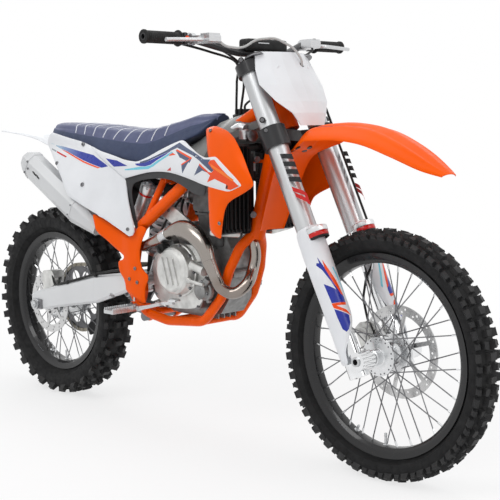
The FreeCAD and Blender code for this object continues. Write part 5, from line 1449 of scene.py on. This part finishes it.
# Frame, swingarm and rear brake details
def make_chassis_fittings():
    piece = Piece()
    # Axle blocks with their adjusters
    shape = bmesh.new()
    for side in (1, -1):
        cuboid(shape, at(-738, side * 119.5, 338), (52, 6, 34), None, 1.5)
        round_bar(shape, at(-772, side * 108, 338), at(-794, side * 108, 337), 0.004, 10)
        bolt(shape, at(-790, side * 108, 337), Vector((-1, 0, 0)), 6.0, 6.0)
    piece.keep(shape, dark_steel)
    shape = bmesh.new()
    nut(shape, at(-HALF_BASE, -129, REAR_TYRE_R), RIGHT, 14.0, 9.0)
    nut(shape, at(-HALF_BASE, 129, REAR_TYRE_R), LEFT, 15.0, 5.0)
    piece.keep(shape, steel)
    # The rear brake's hose and its guides along the swingarm
    shape = bmesh.new()
    hose(shape, 0.0042, (-690, -86, 440), (-655, -100, 412), (-591, -112, 424), (-420, -114, 469),
         (-350, -112, 485), (-282, -112, 497), (-215, -112, 505), (-190, -112, 480))
    for x, y, z in ((-560, -113, 431), (-400, -114, 472)):
        cuboid(shape, at(x, y, z), (12, 10, 13), turned("Y", -0.22), 1.5)
    piece.keep(shape, soft_rubber)
    # The rear master cylinder inside the right frame guard
    shape = bmesh.new()
    round_bar(shape, at(-196, -112, 432), at(-188, -112, 500), 0.012, 20)
    round_bar(shape, at(-198, -112, 404), at(-196, -112, 434), 0.004, 10)
    piece.keep(shape, alloy)
    # The chain's slider over the swingarm and its front end
    shape = bmesh.new()
    cuboid(shape, at(-330, 78, 492), (150, 26, 5), turned("Y", -0.16), 2.0)
    cuboid(shape, at(-330, 78, 398), (130, 22, 5), turned("Y", -0.05), 2.0)
    # The dark shield behind the engine, left of the shock
    cuboid(shape, at(-254, 44, 566), (112, 4, 262), turned("Y", 0.12), 1.8)
    piece.keep(shape, black_plastic)
    # The footpegs' springs and pins
    shape = bmesh.new()
    for side in (1, -1):
        coil(shape, at(-186, side * 114, 388), at(-186, side * 130, 388), 0.009, 0.0013, 5)
        round_bar(shape, at(-200, side * 124, 402), at(-200, side * 124, 372), 0.004, 10)
    piece.keep(shape, dark_steel)
    # The brake pedal's ribbed tip and the gear lever's rubber
    shape = bmesh.new()
    cuboid(shape, at(62, -168, 440), (34, 24, 7), turned("Y", -0.1), 1.4)
    for k in range(5):
        cuboid(shape, at(50 + 6 * k, -168, 444.5), (2.0, 22, 3.0), turned("Y", -0.1), 0.5)
    piece.keep(shape, alloy)
    shape = bmesh.new()
    lathe(shape, at(96, 140, 462), LEFT, [(0, 0), (0, 9), (2, 9.5), (6, 8.6), (10, 9.5), (14, 8.6), (18, 9.5),
                                                     (22, 8.6), (25, 9), (26, 0)], 18)
    piece.keep(shape, soft_rubber)
    # Bolts through the frame guards
    shape = bmesh.new()
    for x, z in ((-173, 514), (-200, 478), (-164, 470)):
        for side in (1, -1):
            bolt(shape, at(x, side * (boot_surface(x, z, 0.5)[1]), z), LEFT * side, 6.0, 3.0)
    piece.keep(shape, dark_steel)
    piece.make("chassis_fittings", "chassis", 30.0)


make_chassis_fittings()


# Bolts of the side covers, the shrouds and the seat
def skin_bolt(shape, surface, x, z, radius, height, side):
    """A bolt standing on a panel's surface, square to it."""
    middle = Vector(surface(x, z, 0.6))
    along = Vector(surface(x + 2, z, 0.6)) - middle
    up = Vector(surface(x, z + 2, 0.6)) - middle
    out = up.cross(along).normalized()
    if out.y < 0:
        out = -out
    bolt(shape, at(middle.x, side * middle.y, middle.z), Vector((out.x, side * out.y, out.z)), radius, height)


def make_cover_fittings():
    piece = Piece()
    shape = bmesh.new()
    for side in (1, -1):
        for x, z, radius in ((-561, 842, 6.5), (-400, 775, 7.5), (-186, 640, 6.0)):
            skin_bolt(shape, side_surface, x, z, radius, 3.0, side)
        skin_bolt(shape, side_surface, -452, 906, 7.0, 4.0, side)
        for x, z in ((206, 952), (290, 690)):
            skin_bolt(shape, shroud_surface, x, z, 5.5, 2.6, side)
    piece.keep(shape, dark_steel)
    piece.make("cover_bolts", "chassis", 30.0)


make_cover_fittings()


def make_silencer_fittings():
    """The silencer's bolts, and a generic badge of dark bars."""
    piece = Piece()
    shoulder = at(-445, -140, 686)
    end = at(-715, -140, 836)
    heading = (end - shoulder).normalized()
    up = heading.cross(LEFT)
    if up.z < 0:
        up = -up
    shape = bmesh.new()
    for along, high in ((-0.018, 0.021), (-0.018, -0.021), (-0.03, 0.0)):
        for out in (RIGHT, LEFT):
            bolt(shape, end + heading * along + up * high + out * 0.0365, out, 4.2, 2.6)
    for high in (0.018, -0.018):
        bolt(shape, shoulder + heading * 0.01 + up * high - LEFT * 0.0375, RIGHT, 3.0, 1.8)
    piece.keep(shape, dark_steel)
    # Seven slanted bars where the photo shows a badge
    shape = bmesh.new()
    turn = turned("Y", -math.atan2(heading.z, -heading.x) + math.pi)
    for k in range(7):
        place = end + heading * (-0.062 - 0.0065 * k) + up * 0.004 - LEFT * 0.0363
        cuboid(shape, place, (3.4, 0.8, 14 if k % 3 else 9), turn, 0.25)
    piece.keep(shape, films["black"])
    piece.make("silencer_fittings", "chassis", 30.0)


make_silencer_fittings()


# Radiators: louvres, filler neck and cap
def make_radiator_parts():
    piece = Piece()
    for side in (1, -1):
        # Upright louvres in front of each core, standing a little apart
        shape = bmesh.new()
        for k in range(7):
            y = side * (50 + 17.5 * k)
            cuboid(shape, at(265, y, 780), (10, 3.0, 228), turned("Z", side * 0.7), 1.0)
        cuboid(shape, at(262, side * 102, 782), (6, 112, 5), None, 1.0)
        # The plate between the core and the down tube
        cuboid(shape, at(250, side * 38, 765), (4, 52, 236), None, 1.5)
        piece.keep(shape, black_plastic)
        # The lower tank's edge, below the guard
        shape = bmesh.new()
        cuboid(shape, at(232, side * 112, 652), (38, 96, 22), turned("X", side * 0.12), 8.0)
        piece.keep(shape, cover_alloy)
        shape = bmesh.new()
        for y, z in ((32, 866), (50, 706)):
            lathe(shape, at(286, side * y, z), Vector((1, side * 0.5, 0)),
                  [(-8, 0), (-8, 10), (2, 10), (4, 8.5), (4, 5), (3, 0)], 24)
        piece.keep(shape, dark_steel)
    shape = bmesh.new()
    pipe(shape, [at(214, -80, 938), at(236, -76, 951), at(258, -72, 960), at(274, -68, 956)], 0.014, 20)
    lathe(shape, at(270, -68, 926), UP, [(0, 0), (0, 17), (26, 17), (28, 14), (28, 0)], 28)
    piece.keep(shape, smooth_silver)
    shape = bmesh.new()
    lathe(shape, at(294, -62, 936), Vector((1, -0.3, 0)), [(-16, 0), (-16, 17), (8, 17), (10, 14), (11, 0)],
          28)
    piece.keep(shape, dark_steel)
    piece.make("radiator_fittings", "chassis", 30.0)


make_radiator_parts()


# The tank's cap: notched, with its breather hose
def make_tank_cap():
    piece = Piece()
    centre = at(205, 0, 984)
    shape = bmesh.new()
    lathe(shape, centre, UP, [(2, 0), (2, 36), (12, 37), (14, 34), (16, 29), (28, 28), (30, 26), (30, 16),
                              (27, 14), (27, 0)], 48)
    piece.keep(shape, black_plastic)
    # The notches' raised bars round the rim
    shape = bmesh.new()
    cuboid(shape, centre + Vector((0.0285, 0, 0.022)), (3.2, 4.4, 13), None, 0.8)
    ring_of(shape, centre, 14, UP)
    piece.keep(shape, black_plastic)
    shape = bmesh.new()
    pipe(shape, [centre + Vector(p) / 1000 for p in ((0, 0, 26), (2, 0, 42), (30, 4, 58), (52, 8, 50))],
         0.0035, 8)
    piece.keep(shape, soft_rubber)
    piece.make("tank_cap", "chassis", 32.0, ("fuel_cap",))


make_tank_cap()


# Floor, lights, world and camera
def seen_directly(tree):
    """One for camera, glossy and transmission rays, and zero for the others."""
    path = add_node(tree, "LightPath", {})
    level = path.outputs["Is Camera Ray"]
    for kind in ("Is Glossy Ray", "Is Transmission Ray"):
        level = add_node(tree, "Math", {0: level, 1: path.outputs[kind]},
                         operation="MAXIMUM").outputs["Value"]
    return level


def make_stage():
    """A pale floor that keeps the bike's shadow and turns into the white background further out."""
    shape = bmesh.new()
    bmesh.ops.create_grid(shape, x_segments=1, y_segments=1, size=14.0,
                          matrix=Matrix.Translation(Vector((0, 0, at(0, 0, 0).z))))
    made = Finish("studio floor", linear(244, 244, 245), 0.9)
    made.vary_colour(made.noise(2.0), linear(242, 242, 243))
    tree = made.tree
    length = add_node(tree, "VectorMath", {0: made.coordinates}, operation="LENGTH").outputs["Value"]
    spread = add_node(tree, "MapRange", {"From Min": 1.1, "From Max": 2.6, "To Min": 0.72, "Value": length},
                      interpolation_type="SMOOTHSTEP").outputs["Result"]
    share = add_node(tree, "Math", {0: spread, 1: seen_directly(tree)}, operation="MULTIPLY").outputs["Value"]
    glow = add_node(tree, "Emission", {}).outputs["Emission"]
    choose = add_node(tree, "MixShader", {0: share, 1: made.shader.outputs["BSDF"], 2: glow})
    output = [node for node in tree.nodes if node.type == "OUTPUT_MATERIAL"][0]
    tree.links.new(choose.outputs["Shader"], output.inputs["Surface"])
    place_mesh("floor", shape, (made.material,))


def make_light(name, place, target, size, power):
    data = bpy.data.lights.new(name, "AREA")
    data.shape = "RECTANGLE"
    data.size, data.size_y = size
    data.energy = power
    obj = place_object(name, data)
    obj.location = place
    obj.rotation_euler = (Vector(target) - Vector(place)).to_track_quat("-Z", "Y").to_euler()


def make_world():
    """Darker below and paler above for reflections and shade, and plain white where it is seen directly."""
    world = bpy.data.worlds.new("studio")
    bpy.context.scene.world = world
    world.use_nodes = True
    tree = world.node_tree
    heading = add_node(tree, "TexCoord", {}).outputs["Generated"]
    height = add_node(tree, "SeparateXYZ", {"Vector": heading}).outputs["Z"]
    spread = add_node(tree, "MapRange", {"From Min": -1.0, "Value": height}).outputs["Result"]
    shade = add_ramp(tree, spread, (0.46, (0.16, 0.16, 0.165, 1.0)), (0.6, (0.4, 0.4, 0.41, 1.0)),
                     (0.85, (0.7, 0.7, 0.7, 1.0)))
    values = {"A": shade, "B": (1.0, 1.0, 1.0, 1.0), "Factor": seen_directly(tree)}
    background = tree.nodes["Background"]
    tree.links.new(add_node(tree, "Mix", values, data_type="RGBA").outputs["Result"],
                   background.inputs["Color"])
    background.inputs["Strength"].default_value = 1.0


def make_camera():
    """The camera that the photo was solved with."""
    data = bpy.data.cameras.new("camera")
    data.lens = 81.42
    data.sensor_width = 36.0
    data.clip_end = 100.0
    camera = place_object("camera", data)
    across = Vector((0.70242535, 0.71169518, -0.00941283))
    upward = Vector((-0.07516553, 0.08732434, 0.99334013))
    back = Vector((0.70777735, -0.69703976, 0.11483377))
    turn = Matrix((across, upward, back)).transposed().to_4x4()
    camera.matrix_world = Matrix.Translation(at(2632.04, -2374.94, 983.14)) @ turn
    bpy.context.scene.camera = camera


make_stage()
make_world()
make_camera()
make_light("key", (0.6, -3.2, 2.8), (0.1, 0, -0.3), (2.6, 1.6), 56.0)
make_light("front", (4.2, 0.6, 1.8), (0.2, 0, -0.4), (1.8, 2.4), 32.0)
make_light("over", (-0.2, 0.4, 3.2), (0, 0, -0.4), (3.4, 2.0), 26.0)
make_light("back", (-3.4, 1.6, 2.2), (0, 0, -0.3), (1.6, 1.6), 24.0)
bpy.context.scene.view_settings.view_transform = "Standard"
